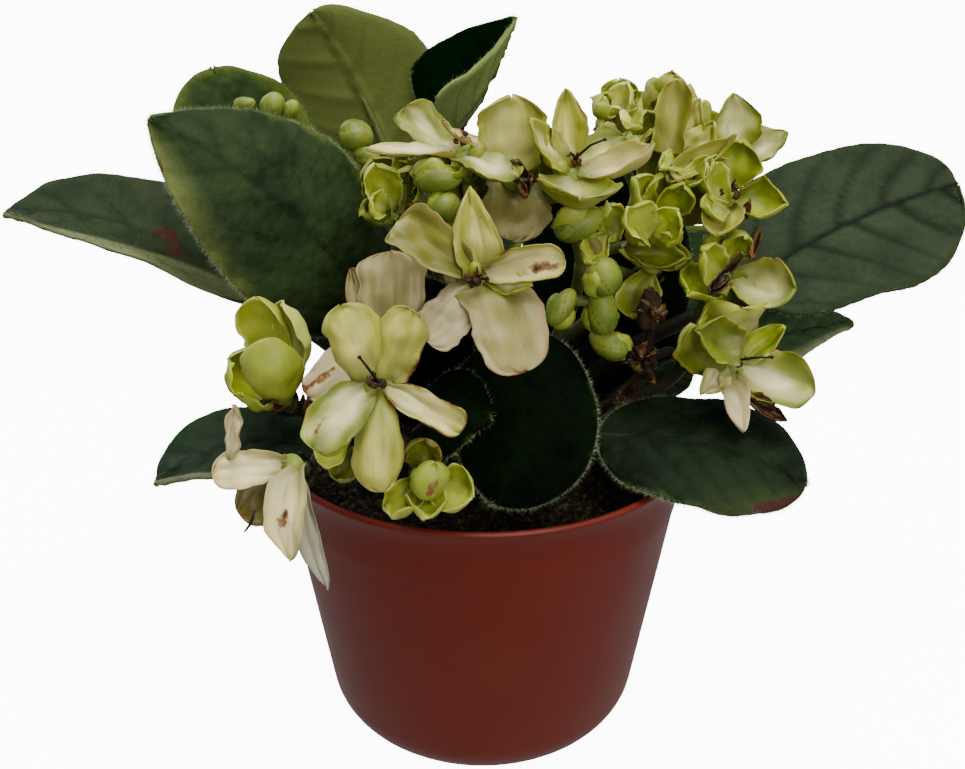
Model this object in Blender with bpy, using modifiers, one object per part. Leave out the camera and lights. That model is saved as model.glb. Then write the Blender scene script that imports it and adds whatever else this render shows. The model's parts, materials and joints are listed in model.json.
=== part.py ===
"""A miniature African violet in a small plastic nursery pot.

The origin is the centre of the pot's underside, +Z is up and the front faces -Y.
Dimensions are in millimetres, and become metres as the meshes are made.
"""

from math import cos, pi, radians, sin

import bmesh
import bpy
from mathutils import Matrix, Vector

MM = 0.001

# Pot and soil
RIM_RADIUS = 30.0
POT_HEIGHT = 45.3
WALL = 1.1
FOOT_RADIUS = 22.3
FOOT_ROUND = 8.0
TAPER = 0.16
CREASE_HEIGHT = 36.8
SOIL_HEIGHT = 40.0
CLEARANCE = 0.3
TURNED_STEPS = 28
DRAIN_HOLES = 6
DRAIN_RADIUS = 2.4
DRAIN_CIRCLE = 10.5

# Stems and blades
PETIOLE_RADIUS = 1.15
STALK_RADIUS = 1.1
PEDICEL_RADIUS = 0.7
ROOT_DEPTH = 2.5
HOLE_RADIUS = 1.65
LEAF_THICKNESS = 0.9
PETAL_THICKNESS = 0.7
TUBE_LENGTH = 2.2
CALYX_LENGTH = 1.8
DRIED_ROOT = (13.5, -4)

# Leaves: name, where it is rooted, blade base, halfway point, tip,
# width, the way its upper side faces, fold and cup in degrees, where it is widest, how pointed its tip is
LEAVES = (
    ("leaf_back_upright", (-5, 10), (-13.9, 22.5, 79.7), (-19, 26.5, 90.7), (-25.3, 27.5, 101.2),
     24.5, (0.1, 1, 0.2), 0, 5, 0.5, 0.1),
    ("leaf_back_folded", (0, 12), (-6, 16, 84), (0.5, 19, 91.5), (4.5, 22, 101),
     22, (-0.85, -0.3, 0.45), 50, 0, 0.4, 0.8),
    ("leaf_left_rear", (-10, 8), (-27, 17, 70.5), (-34.9, 19.3, 82.7), (-39.5, 21.3, 93.7),
     20.5, (0.15, -0.75, 0.6), 0, 5, 0.5, 0),
    ("leaf_left_tall", (-9, 2.5), (-15.5, 1, 62), (-25.3, -5, 78.8), (-42.3, -4, 90.7),
     24, (0.35, -0.8, 0.5), 0, -5, 0.45, 0.6),
    ("leaf_left_flat", (-13.5, 3), (-31.5, 5, 63.8), (-48, 3, 74.3), (-64, -1, 77.5),
     19.5, (0.05, -0.35, 0.93), 0, 20, 0.45, 0.6),
    ("leaf_left_low", (-11, -7), (-21, -14, 48), (-31.5, -16.6, 50.7), (-42, -20, 47.2),
     14, (-0.1, -0.3, 0.95), 0, 8, 0.45, 0.3),
    ("leaf_right_large", (13, 8), (37.5, 8, 64), (53.5, 14, 72), (70, 16, 77.7),
     26.5, (-0.25, -0.75, 0.6), 0, 3, 0.36, -0.3),
    ("leaf_right_small", (16.5, 2), (38.8, 10.5, 54.6), (47.2, 10.5, 56.5), (54.7, 8, 58.8),
     11, (0, -0.6, 0.8), 10, 0, 0.4, 1),
    ("leaf_right_low", (9, -8), (15.5, -12, 50), (28, -16, 50.5), (41.5, -20, 47),
     20, (0.05, -0.4, 0.92), 0, -5, 0.55, 0),
    ("leaf_front_right", (4, -10), (3, -12, 65), (5, -24, 59), (1.5, -28, 48.5),
     18.5, (0.1, -0.8, 0.6), 0, -5, 0.5, 0.1),
    ("leaf_front_left", (-3, -13), (-8, -21, 54.8), (-4.6, -25.9, 59.5), (1, -28.9, 60.3),
     12.5, (0.1, -0.7, 0.7), 0, -5, 0.5, 0.6),
    ("leaf_inner", (-4.6, -0.8), (-7.5, -2, 47), (-8.5, -2.6, 58), (-8, -2, 69),
     16, (0, -1, 0.2), 0, 0, 0.5, -0.2),
    ("leaf_middle", (16, 11), (16, 12.3, 46), (18, 15, 62), (19, 19, 80),
     27, (0.05, -1, 0.35), 0, 4, 0.4, -0.2),
    ("leaf_young", (9, 4.5), (23, 1, 49), (27, 3, 51.7), (30.6, 4, 52.6),
     5, (0.1, -0.8, 0.6), 0, 10, 0.5, 0),
    ("leaf_rear_a", (-9, 13), (-18, 27, 57.5), (-24, 37.5, 64.5), (-30.5, 48.5, 65.5),
     21, (-0.3, 0.3, 0.9), 0, 5, 0.45, 0),
    ("leaf_rear_b", (1, 17), (-1, 30, 60), (-2, 42, 67), (-2, 55, 68),
     21, (0, -0.2, 0.95), 0, 5, 0.45, 0),
    ("leaf_rear_c", (12, 12.5), (27, 25, 54), (36, 34, 60), (46, 41, 61),
     22, (0.1, -0.2, 0.95), 0, 5, 0.45, 0),
    ("leaf_rear_d", (-15, 9), (-32, 21, 60), (-41, 25, 66), (-51, 28, 68),
     19, (0, -0.3, 0.95), 0, 5, 0.45, 0),
)

# Blooms: name, centre, the way it faces, petals as base, tip, width, curl, cup in degrees
# and, for a petal that folds over the others, the way its own inner side faces
BLOOMS = (
    ("bloom_left_green", (-26.2, -15.4, 57.6), (-0.4, -0.5, 0.75), (
        ((-26.8, -14.5, 58.1), (-28.7, -12.9, 70.1), 7, 0.2, 20),
        ((-25.6, -14.7, 58.3), (-24.7, -14.6, 70.1), 6, 0.3, 25),
        ((-26.7, -15.6, 57.8), (-32.2, -18.4, 63.6), 7.5, 0.2, 25),
        ((-26, -16.1, 57.8), (-25.7, -21.4, 67.6), 8.5, 0.3, 25, (-0.2, 0.95, 0.3)),
        ((-26.9, -16, 57.3), (-30.7, -19.4, 58.6), 5.5, 0.15, 15),
    )),
    ("bloom_front_centre", (-12, -29, 64.5), (-0.05, -0.75, 0.65), (
        ((-12.5, -28.8, 65.3), (-16, -28, 74), 7, -0.1, -15),
        ((-11.5, -28.8, 65.4), (-8, -28, 73.5), 6, -0.05, -10),
        ((-13, -29, 64.5), (-18.5, -35, 59), 6.5, -0.1, 15),
        ((-12, -29.7, 64.3), (-11.5, -36, 54.5), 6, -0.12, -15),
        ((-11.2, -29.5, 64.6), (-2.5, -34, 61), 4.5, -0.1, 20),
    )),
    ("bloom_front_white", (-11, -20, 66), (0, -0.75, 0.65), (
        ((-11, -20, 66), (-11, -17, 77), 7.5, -0.1, 0),
        ((-12.2, -20, 66), (-16, -17, 75), 4.5, 0, 10),
        ((-12.1, -20, 65.6), (-21.5, -23, 61), 5.5, -0.1, 0),
    )),
    ("bloom_front_small", (-7, -30, 53), (0, -0.8, 0.6), (
        ((-7.5, -30.4, 53.1), (-10.5, -36, 51), 4.5, 0.15, 25),
        ((-7, -30.7, 52.8), (-6.5, -36, 51.5), 4.5, 0.2, 25),
        ((-6.8, -30.9, 52.6), (-5.5, -36, 57.7), 4.4, 0.3, 30, (0, 1, 0.3)),
        ((-7, -29.8, 53.9), (-6.5, -32, 59.5), 4, 0.1, 20),
        ((-6.2, -30.6, 52.9), (-1, -34, 52.5), 6, 0.15, 25),
    )),
    ("bloom_left_dried", (-23.5, -24, 51.5), (-0.3, -0.8, 0.5), (
        ((-24, -24, 52), (-33, -26, 51.5), 4, 0.05, 15),
        ((-31, -25, 53), (-30, -22, 59), 2, 0, 10),
        ((-24.3, -24, 50.7), (-30.3, -25.7, 45.6), 6, 0.1, 10),
        ((-22.6, -24.6, 51.8), (-23, -31, 42.5), 5.8, -0.15, 20),
        ((-22.8, -24.7, 50.8), (-19, -29.5, 38), 3.2, -0.12, 10),
    )),
    ("bloom_centre_pale", (-0.5, -21, 74.5), (0, -0.85, 0.5), (
        ((-1.3, -21, 75.3), (-10, -20, 81.5), 6.5, -0.05, 15),
        ((-0.1, -20.9, 75.5), (-1.5, -19, 85.5), 6.5, -0.05, 15),
        ((0.3, -21, 75.3), (9.5, -24, 78), 4.5, -0.05, 30),
        ((0.5, -21.5, 74.4), (5, -28, 66), 9.5, -0.1, 5),
        ((-1, -21.8, 73.9), (-6.5, -23, 68), 6.5, -0.05, 5),
        ((0.4, -21.2, 74.9), (5, -25, 75.5), 3, 0.15, 25),
    )),
    ("bloom_top_left", (-2.5, -7, 87), (-0.1, -0.3, 0.95), (
        ((-3, -7, 87.4), (-10, -2, 91.5), 5.5, 0.1, 15),
        ((-3.3, -7.8, 87), (-15, -8, 89), 3.2, 0, 10),
        ((-2.5, -8.2, 86.7), (4, -15, 85), 4.5, -0.05, 10),
        ((-1.7, -6.2, 87), (0, -2, 88), 4, 0.1, 10),
    )),
    ("bloom_top_mid", (4, -8, 84), (0, -0.85, 0.5), (
        ((3.5, -7.9, 84.9), (3.6, -6, 93.7), 8.8, 0.12, 20),
        ((4, -8, 83), (3.5, -14, 77.5), 8, -0.05, 10),
    )),
    ("bloom_top_white", (11.5, -7, 84.5), (0.05, -0.5, 0.85), (
        ((11, -6.8, 85.1), (10.5, -4, 94.5), 5, 0.1, 25),
        ((10.7, -7.4, 84.8), (6.2, -10, 91.7), 5.3, 0.1, 15),
        ((12, -7.8, 84.5), (21.5, -11, 88.5), 5, 0.12, 20),
        ((11.2, -8.1, 84.2), (11.5, -17, 83.3), 11, 0.15, 15),
        ((12.2, -6.3, 85.2), (18.5, -1, 87.5), 6, 0.1, 15),
    )),
    ("bloom_back_left_green", (-11.5, -3, 78), (-0.2, -0.7, 0.7), (
        ((-12, -3, 78), (-14.5, -2, 85.5), 5.5, 0.15, 25),
        ((-11.9, -3.7, 77.7), (-15.5, -7, 79), 4.5, 0.1, 25),
        ((-10.9, -3.6, 78.1), (-8.6, -6, 85.2), 5.8, 0.25, 30),
        ((-10.9, -3.7, 78), (-8.5, -9, 80), 3, 0.1, 20),
    )),
    ("bloom_back_small", (19, 6, 88), (0, -0.5, 0.85), (
        ((18.5, 6, 88.5), (15, 5, 92), 4.5, 0.2, 25),
        ((19, 7, 88.5), (18.5, 9, 94), 5, 0.15, 25),
        ((19.5, 6, 88.5), (22, 8, 92.5), 4.5, 0.2, 25),
        ((19.3, 4.9, 87.8), (20.5, -1, 87.6), 5.5, 0.2, 20),
        ((18.5, 5.2, 88), (15.5, 1, 89), 4, 0.2, 20),
    )),
    ("bloom_back_tube", (25, 4, 87), (0, -0.2, 1), (
        ((24.1, 3.5, 87.3), (22.5, 3, 95), 4.5, 0.2, 30),
        ((25, 5.2, 87.3), (25.5, 8, 95), 5.5, 0.15, 30),
        ((25.8, 4.1, 87.4), (27.5, 4, 94), 4.5, 0.2, 30),
        ((24.8, 2.9, 87.2), (23.8, 0.8, 93.2), 5.5, 0.15, 30),
    )),
    ("bloom_right_back", (35, 8, 83), (0.1, -0.4, 0.9), (
        ((35, 8, 83.5), (34.5, 9, 92), 6.5, 0.1, 20),
        ((36.2, 8, 83), (42, 8, 87), 5.5, 0.1, 20),
        ((34, 8, 83), (30.5, 10, 90), 4.5, 0.1, 10),
    )),
    ("bloom_right_mid_pale", (26.5, -2, 85.5), (0.2, -0.6, 0.8), (
        ((26, -2.9, 85.4), (30, -2, 90), 3.5, 0.05, 10),
        ((25.5, -2, 86), (27.9, -1, 92.8), 3.5, 0.1, 10),
        ((26.5, -2.9, 85.4), (22.5, -6, 85), 3.5, 0.05, 10),
        ((26.5, -3, 85), (25.5, -7, 83.5), 4, 0.1, 10),
    )),
    ("bloom_right_cup", (32, -3, 80.5), (0.05, -0.75, 0.65), (
        ((31.4, -3.3, 80.8), (27.7, -7.2, 86.4), 5.3, 0.2, 25),
        ((32.4, -2.7, 81.4), (33.5, -3, 88.5), 6.5, 0.15, 20),
        ((33, -3.6, 80.4), (39, -7, 80.5), 6, 0.15, 25),
        ((32, -3.8, 79.7), (29.5, -10, 77.2), 5.5, 0.05, 25),
    )),
    ("bloom_right_dry", (32, -5, 70.5), (0.1, -0.8, 0.6), (
        ((31.2, -5.7, 70.4), (26.5, -11, 70), 6, 0.2, 20),
        ((31.5, -4.9, 71.4), (29.4, -6.7, 77), 3.5, 0.15, 25),
        ((32.3, -4.8, 71.4), (34, -7.6, 77.4), 4, 0.2, 25),
        ((32.8, -5.7, 70.1), (40, -11, 70.5), 7, 0.15, 20),
    )),
    ("bloom_right_low", (33, -10, 59.5), (0.1, -0.8, 0.6), (
        ((33.3, -9.8, 60.4), (33, -12.8, 68), 8.2, 0.1, -15),
        ((32.3, -10.2, 60.1), (27.5, -15, 66.5), 6.5, 0.15, -10),
        ((33.8, -9.9, 60.2), (39.5, -10, 65), 3.5, 0.1, 15),
        ((33.8, -10.5, 59.3), (42.8, -15, 57.5), 8.5, 0.1, 20),
        ((32, -10.6, 59.2), (33.5, -18, 53.5), 3.2, 0, 15),
        ((32.1, -10.4, 59.4), (28.4, -15.5, 57.8), 4, 0, 10),
    )),
    ("bloom_mid_cup", (23, -4, 77), (0.15, -0.75, 0.65), (
        ((22.1, -4.4, 77.4), (19, -7, 84), 6, 0.2, 30),
        ((22.6, -3.8, 77.9), (23.5, -5, 84), 5, 0.2, 25),
        ((23.6, -4.2, 77.3), (25.3, -9, 83.4), 4.5, 0.2, 25),
        ((22.4, -4.8, 76.8), (19, -12, 78.5), 4, 0.25, 25),
        ((23.2, -4.8, 76.6), (23.5, -12, 78), 4.5, 0.25, 25),
    )),
    ("bloom_mid_olive", (22.5, -5, 72), (0, -0.7, 0.7), (
        ((23, -5, 72.5), (27, -8, 73.5), 4, 0.1, 20),
        ((22, -5, 72.5), (18, -8, 75), 4, 0.1, 20),
        ((22, -5, 71), (20, -8, 65), 5, 0.1, 15),
    )),
)

# Bud clusters: name, the buds as lower end, upper end and width,
# petals as for a bloom, stems as points and radius
BUDS = (
    ("buds_middle", (
        ((9, -12, 78), (15, -12, 80.5), 4.4), ((15, -14, 70.5), (15, -14, 75.5), 5),
        ((15.5, -13, 65), (15, -13, 71), 4.2), ((18.5, -13, 62), (14, -12, 65), 3.8),
        ((8.5, -14, 66.5), (11.5, -13, 71), 3),
    ), (
        ((16.5, -11, 76.5), (15.5, -12, 82), 4, 0.25, 20),
        ((15.5, -12, 78), (12.5, -14.5, 75), 3.5, 0.2, 20),
    ), (
        (((12, -11, 79), (14.5, -12, 76), (15, -12, 70), (15.5, -11.5, 64)), 0.9),
        (((15, -12, 69), (11, -13, 69.5)), 0.7),
    )),
    ("buds_back_left", (
        ((-8.5, -9, 84), (-2.5, -9, 84.5), 3.8), ((-6.5, -10, 79.5), (-3, -10, 82), 3.8),
    ), (
        ((-4.5, -8, 79), (-2.5, -9, 75.5), 3, 0.1, 10),
    ), (
        (((-4.5, -8, 84), (-5, -8, 80.5), (-5.5, -6.5, 77)), 0.8),
    )),
)

# Flower stalks: name, where it is rooted, where it forks, the blooms it carries, its own buds
STALKS = (
    ("stalk_left", (-8, -4), (-20, -11, 52), ("bloom_left_green", "bloom_left_dried"), ()),
    ("stalk_front", (-8.5, -10.5), (-13, -20, 57), (
        "bloom_front_centre", "bloom_front_white", "bloom_front_small"), ()),
    ("stalk_centre", (-1, -5), (0, -9, 72), ("bloom_centre_pale", "bloom_top_left", "bloom_top_mid"), ()),
    ("stalk_back_left", (-4, 5), (-9, 4, 72), ("bloom_back_left_green",), (
        ((-34, 8, 90.5), (-31, 8, 91), 2),
        ((-30, 8, 89), (-27.5, 8, 92), 3.4),
        ((-27.5, 9, 88.5), (-25.5, 9, 91), 2.4),
        ((-19.5, 6, 87.5), (-15, 6, 86), 4.6),
        ((-17.5, 5.5, 85), (-14, 4, 83.5), 3),
    )),
    ("stalk_middle", (4, -4), (13, -5, 72), ("bloom_top_white", "bloom_mid_cup", "bloom_mid_olive"), ()),
    ("stalk_right", (11.5, 0), (28, -3, 58), ("bloom_right_dry", "bloom_right_low"), ()),
    ("stalk_right_back", (4, 7), (24, 4, 74), (
        "bloom_back_small", "bloom_back_tube", "bloom_right_back", "bloom_right_mid_pale",
        "bloom_right_cup"), ()),
)

# Dark dried stamens: the bloom, length of the style and the way it leans
STAMENS = (
    ("bloom_front_centre", 3.2, (-0.5, -0.3, 0.9)),
    ("bloom_centre_pale", 0, (0, 0, 1)),
    ("bloom_top_left", 0, (0, 0, 1)),
    ("bloom_top_mid", 0, (0, 0, 1)),
    ("bloom_top_white", 4.0, (0.9, -0.3, 0.5)),
    ("bloom_right_cup", 0, (0, 0, 1)),
    ("bloom_right_low", 4.2, (0.9, -0.4, 0.2)),
)


def srgb(red, green, blue):
    """A colour seen on a screen, 0 to 255, as the linear values a material takes."""
    return tuple((value / 255) ** 2.2 for value in (red, green, blue)) + (1.0,)


def material(name, colour, roughness, metallic=0.0):
    made = bpy.data.materials.new(name)
    made.use_nodes = True
    shader = made.node_tree.nodes["Principled BSDF"]
    shader.inputs["Base Color"].default_value = colour
    shader.inputs["Roughness"].default_value = roughness
    shader.inputs["Metallic"].default_value = metallic
    made.diffuse_color = colour
    return made


def mesh_object(name, mesh):
    """An object for the mesh, in the part's collection."""
    made = bpy.data.objects.new(name, mesh)
    plant.objects.link(made)
    return made


def solid(source, name="piece"):
    """The object as its modifiers leave it, as a plain closed mesh; the source is removed."""
    graph = bpy.context.evaluated_depsgraph_get()
    mesh = bpy.data.meshes.new_from_object(source.evaluated_get(graph))
    bm = bmesh.new()
    bm.from_mesh(mesh)
    bmesh.ops.remove_doubles(bm, verts=bm.verts, dist=1e-7)
    bm.to_mesh(mesh)
    bm.free()
    made = mesh_object(name, mesh)
    made.matrix_world = source.matrix_world
    bpy.data.objects.remove(source)
    return made


def fuse(name, pieces):
    """One closed body from pieces that overlap, by a union of the first with the rest."""
    first = pieces[0]
    others = bpy.data.collections.new(name + "_pieces")
    for piece in pieces[1:]:
        plant.objects.unlink(piece)
        others.objects.link(piece)
    if len(pieces) > 1:
        union = first.modifiers.new("Union", "BOOLEAN")
        union.operation = "UNION"
        union.operand_type = "COLLECTION"
        union.collection = others
        union.solver = "MANIFOLD"
    fused = solid(first, name)
    for piece in list(others.objects):
        bpy.data.objects.remove(piece)
    bpy.data.collections.remove(others)
    fused.name = name
    return fused


def finish(made, looks):
    made.data.materials.clear()
    made.data.materials.append(looks)
    made.data.shade_smooth()
    made.data.set_sharp_from_angle(angle=radians(50))
    return made


def turned(name, profile):
    """A profile of radius and height, run down its outer side, turned about the Z axis."""
    mesh = bpy.data.meshes.new(name)
    points = [(radius * MM, 0, height * MM) for radius, height in profile]
    mesh.from_pydata(points, [(i, i + 1) for i in range(len(points) - 1)], [])
    made = mesh_object(name, mesh)
    screw = made.modifiers.new("Screw", "SCREW")
    screw.steps = TURNED_STEPS
    screw.render_steps = TURNED_STEPS
    screw.use_merge_vertices = True
    screw.merge_threshold = 0.00001
    return made


def outline(t, widest, point):
    """The half-width of a blade at t along it, as a share of its greatest.

    A point of 1 makes a sharp tip and of -1 a blunt one.
    """
    if t < widest:
        return max(0.2, (1 - (1 - t / widest) ** 2.3) ** 0.5)
    away = min((t - widest) / (1 - widest), 1)
    sharp = max(point, 0)
    return max(0.1 - 0.4 * min(point, 0), (1 - away ** (2.3 - 0.5 * sharp)) ** (0.5 + 0.5 * sharp))


def blade(base, middle, tip, width, facing, fold, cup, widest, point, across, along, thickness, plane=False):
    """A closed blade of even thickness, laid along the curve through base, middle and tip.

    With plane set the whole blade keeps the sideways direction of its chord.
    """
    handle = 2 * middle - (base + tip) / 2
    bm = bmesh.new()
    bmesh.ops.create_grid(bm, x_segments=across, y_segments=along, size=1.0)
    bmesh.ops.triangulate(bm, faces=bm.faces)
    for vert in bm.verts:
        s = vert.co.x
        t = 0.5 + 0.5 * sin(vert.co.y * pi / 2)
        centre = (1 - t) ** 2 * base + 2 * t * (1 - t) * handle + t * t * tip
        run = (1 - t) * (handle - base) + t * (tip - handle)
        side = (tip - base if plane else run).cross(facing).normalized()
        up = side.cross(run).normalized()
        reach = width / 2 * outline(t, widest, point) * abs(s)
        lift = radians(fold + cup * abs(s))
        sign = 1 if s > 0 else -1
        vert.co = (centre + side * reach * sign * cos(lift) + up * reach * sin(lift)) * MM
    mesh = bpy.data.meshes.new("blade")
    bm.to_mesh(mesh)
    bm.free()
    made = mesh_object("blade", mesh)
    thick = made.modifiers.new("Solidify", "SOLIDIFY")
    thick.thickness = thickness * MM
    thick.offset = 0.0
    return solid(made)


def bend(start, leaving, end, arriving, count):
    """Points on a cubic curve from start to end, leaving and arriving along the given handles."""
    start, end = Vector(start), Vector(end)
    first, last = start + Vector(leaving), end - Vector(arriving)
    points = []
    for i in range(count + 1):
        t = i / count
        near = (1 - t) ** 3 * start + 3 * t * (1 - t) ** 2 * first
        points.append(near + 3 * t * t * (1 - t) * last + t ** 3 * end)
    return points


def tube(points, start_radius, end_radius):
    """A round stem through the points, tapering from one end to the other."""
    curve = bpy.data.curves.new("stem", "CURVE")
    curve.dimensions = "3D"
    curve.bevel_depth = MM
    curve.bevel_resolution = 1
    curve.use_fill_caps = True
    spline = curve.splines.new("POLY")
    spline.points.add(len(points) - 1)
    for i, (place, point) in enumerate(zip(spline.points, points)):
        place.co = (*(Vector(point) * MM), 1)
        place.radius = start_radius + (end_radius - start_radius) * i / (len(points) - 1)
    return solid(mesh_object("stem", curve))


def cone(start, end, start_radius, end_radius, sides=6):
    """A cone frustum from one point to another."""
    start, end = Vector(start), Vector(end)
    bm = bmesh.new()
    bmesh.ops.create_cone(bm, cap_ends=True, segments=sides, radius1=start_radius * MM,
                          radius2=end_radius * MM, depth=(end - start).length * MM)
    turn = Vector((0, 0, 1)).rotation_difference(end - start).to_matrix().to_4x4()
    bm.transform(Matrix.Translation((start + end) / 2 * MM) @ turn)
    mesh = bpy.data.meshes.new("cone")
    bm.to_mesh(mesh)
    bm.free()
    return mesh_object("cone", mesh)


def egg(start, end, width):
    """A closed bud: a ball stretched from one end to the other."""
    start, end = Vector(start), Vector(end)
    bm = bmesh.new()
    bmesh.ops.create_uvsphere(bm, u_segments=7, v_segments=4, radius=MM)
    bm.transform(Matrix.Diagonal((width / 2, width / 2, (end - start).length / 2, 1)))
    turn = Vector((0, 0, 1)).rotation_difference(end - start).to_matrix().to_4x4()
    bm.transform(Matrix.Translation((start + end) / 2 * MM) @ turn)
    mesh = bpy.data.meshes.new("egg")
    bm.to_mesh(mesh)
    bm.free()
    return mesh_object("egg", mesh)


def rooted(root, leaving, end, arriving, count):
    """A stem's points: straight up out of its hole in the soil, then bent over to its end."""
    x, y = root
    collar = Vector((x, y, SOIL_HEIGHT + 1.5))
    return [Vector((x, y, SOIL_HEIGHT - ROOT_DEPTH))] + bend(collar, (0, 0, leaving), end, arriving, count)


def leaf(name, root, base, middle, tip, width, facing, fold, cup, widest, point):
    """A leaf with its petiole, which runs out along the underside of the blade."""
    base, middle, tip = Vector(base), Vector(middle), Vector(tip)
    flat = blade(base, middle, tip, width, Vector(facing), fold, cup, widest, point, 4, 5, LEAF_THICKNESS)
    run = (2 * middle - (base + tip) / 2 - base).normalized()
    reach = (base - Vector((*root, SOIL_HEIGHT))).length
    inside = base + (middle - base) * 0.4
    stem = tube(rooted(root, reach * 0.4, base, run * reach * 0.3, 4) + [inside], PETIOLE_RADIUS, 0.7)
    return fuse(name, [flat, stem])


def petal(facing, base, tip, width, curl, cup, inner=None):
    """A petal from base to tip, bowed away from its inner side by curl times its length."""
    base, tip = Vector(base), Vector(tip)
    run = tip - base
    inner = Vector(inner or facing)
    inner = (inner - run * inner.dot(run) / run.length_squared).normalized()
    middle = (base + tip) / 2 - inner * curl * run.length
    return blade(base, middle, tip, width, inner, 0, cup, 0.58, -1, 2, 3, PETAL_THICKNESS, plane=True)


def bloom(name, centre, facing, petals):
    """A flower: a short tube with its petals, each sunk in the tube's mouth."""
    centre, facing = Vector(centre), Vector(facing).normalized()
    pieces = [cone(centre - facing * TUBE_LENGTH, centre + facing * 0.8, 0.9, 1.8)]
    pieces += [petal(facing, *row) for row in petals]
    return fuse(name, pieces)


def buds(name, eggs, petals, stems):
    """A cluster of closed buds and half-open petals on their own short stems."""
    pieces = [tube(points, radius, radius) for points, radius in stems]
    pieces += [egg(*row) for row in eggs]
    pieces += [petal(Vector((0, -0.8, 0.6)), *row) for row in petals]
    return fuse(name, pieces)


def stalk(name, root, fork, carried, eggs):
    """A flower stalk with a pedicel and a calyx for each bloom, and a pedicel for each bud of its own."""
    fork = Vector(fork)
    reach = (fork - Vector((*root, SOIL_HEIGHT))).length
    pieces = [tube(rooted(root, reach * 0.4, fork, (0, 0, reach * 0.3), 4), STALK_RADIUS, 0.9)]
    start = fork - Vector((0, 0, 1))
    for other, centre, facing, petals in BLOOMS:
        if other not in carried:
            continue
        facing = Vector(facing).normalized()
        mouth = Vector(centre) - facing * (TUBE_LENGTH + CLEARANCE)
        heel = mouth - facing * CALYX_LENGTH
        span = (heel - fork).length
        path = bend(start, (0, 0, span * 0.3), heel + facing * 0.6, facing * span * 0.3, 3)
        pieces.append(tube(path, PEDICEL_RADIUS, PEDICEL_RADIUS))
        pieces.append(cone(heel, mouth, 0.9, 1.5))
    for low, high, width in eggs:
        end = Vector(low) * 0.6 + Vector(high) * 0.4
        span = (end - fork).length
        pieces.append(tube(bend(start, (0, 0, span * 0.4), end, (0, 0, span * 0.2), 3), PEDICEL_RADIUS, 0.6))
        pieces.append(egg(low, high, width))
    return fuse(name, pieces)


def stamens(name, centre, facing, style, lean):
    """The dark dried anthers in a flower's mouth, and the style where it stands out."""
    centre, facing = Vector(centre), Vector(facing).normalized()
    start = centre + facing * (0.8 + 3 * CLEARANCE)
    pieces = [cone(start, start + facing * 1.5, 0.9, 0.6)]
    if style:
        lean = Vector(lean).normalized()
        middle = start + facing * 1.8 + lean * style * 0.5
        end = start + facing * 1.6 + lean * style
        pieces.append(tube([start + facing * 0.8, middle, end], 0.35, 0.3))
    return fuse(name, pieces)


def wall_line(inset, steps=4):
    """The wall from the crease down to the flat base, moved in by inset."""
    lean = pi / 180 * 9.1
    middle = FOOT_RADIUS + TAPER * FOOT_ROUND - FOOT_ROUND / cos(lean)
    line = [(FOOT_RADIUS + TAPER * CREASE_HEIGHT - inset, CREASE_HEIGHT - 0.3)]
    for i in range(steps + 1):
        angle = -lean - (pi / 2 - lean) * i / steps
        rounding = FOOT_ROUND - inset
        line.append((middle + rounding * cos(angle), FOOT_ROUND + rounding * sin(angle)))
    return line


for old in list(bpy.data.objects):
    bpy.data.objects.remove(old)
plant = bpy.data.collections.new("Potted miniature African violet")
bpy.context.scene.collection.children.link(plant)
cutters = bpy.data.collections.new("Cutters")
bpy.context.scene.collection.children.link(cutters)

pot_plastic = material("pot_plastic", srgb(135, 58, 42), 0.45)
soil_dark = material("soil_dark", srgb(30, 26, 20), 0.95)
leaf_green = material("leaf_green", srgb(38, 58, 28), 0.6)
stem_green = material("stem_green", srgb(110, 125, 60), 0.55)
petal_green = material("petal_green", srgb(180, 195, 95), 0.5)
dried_brown = material("dried_brown", srgb(85, 55, 35), 0.85)

for row in LEAVES:
    finish(leaf(*row), leaf_green)
for row in BLOOMS:
    finish(bloom(*row), petal_green)
for row in BUDS:
    finish(buds(*row), petal_green)
for row in STALKS:
    finish(stalk(*row), stem_green)
for other, style, lean in STAMENS:
    for name, centre, facing, petals in BLOOMS:
        if name == other:
            finish(stamens(name.replace("bloom", "stamens"), centre, facing, style, lean), dried_brown)

# The withered stalk: a brown stem with a knot, a side branch and a dead flower
dead = [
    tube([(*DRIED_ROOT, SOIL_HEIGHT - ROOT_DEPTH), (*DRIED_ROOT, SOIL_HEIGHT + 2), (17.3, -3.5, 48),
          (20, -5.5, 53), (21.7, -8.5, 58.5), (22, -9.8, 67)], 1.0, 0.8),
    tube([(22, -9, 60), (25, -8.5, 61), (28, -8, 59.5)], 0.8, 0.5),
    egg((21.5, -10.3, 64.5), (21.9, -10.3, 69.8), 2.9),
    egg((21.5, -9, 57.5), (21.5, -9, 62), 3.2),
    egg((18.3, -5.5, 52.8), (21.8, -6.2, 52.5), 2.6),
]
finish(fuse("stalk_dried", dead), dried_brown)

# The crown: the short rootstock with the smallest leaves round it
crown = [cone((0, 1, SOIL_HEIGHT + 1.0), (0, 1, SOIL_HEIGHT + 6), 3.0, 1.8)]
for i in range(3):
    turn = radians(60 + 120 * i)
    out = Vector((cos(turn), sin(turn), 0))
    foot = Vector((0, 1, SOIL_HEIGHT + 4.5)) + out
    crown.append(blade(foot, foot + out * 1.5 + Vector((0, 0, 4)), foot + out * 3.5 + Vector((0, 0, 7)), 4.5,
                       Vector((0, 0, 1)) - out, 0, 15, 0.55, 0.3, 2, 3, PETAL_THICKNESS))
finish(fuse("crown", crown), stem_green)

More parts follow.
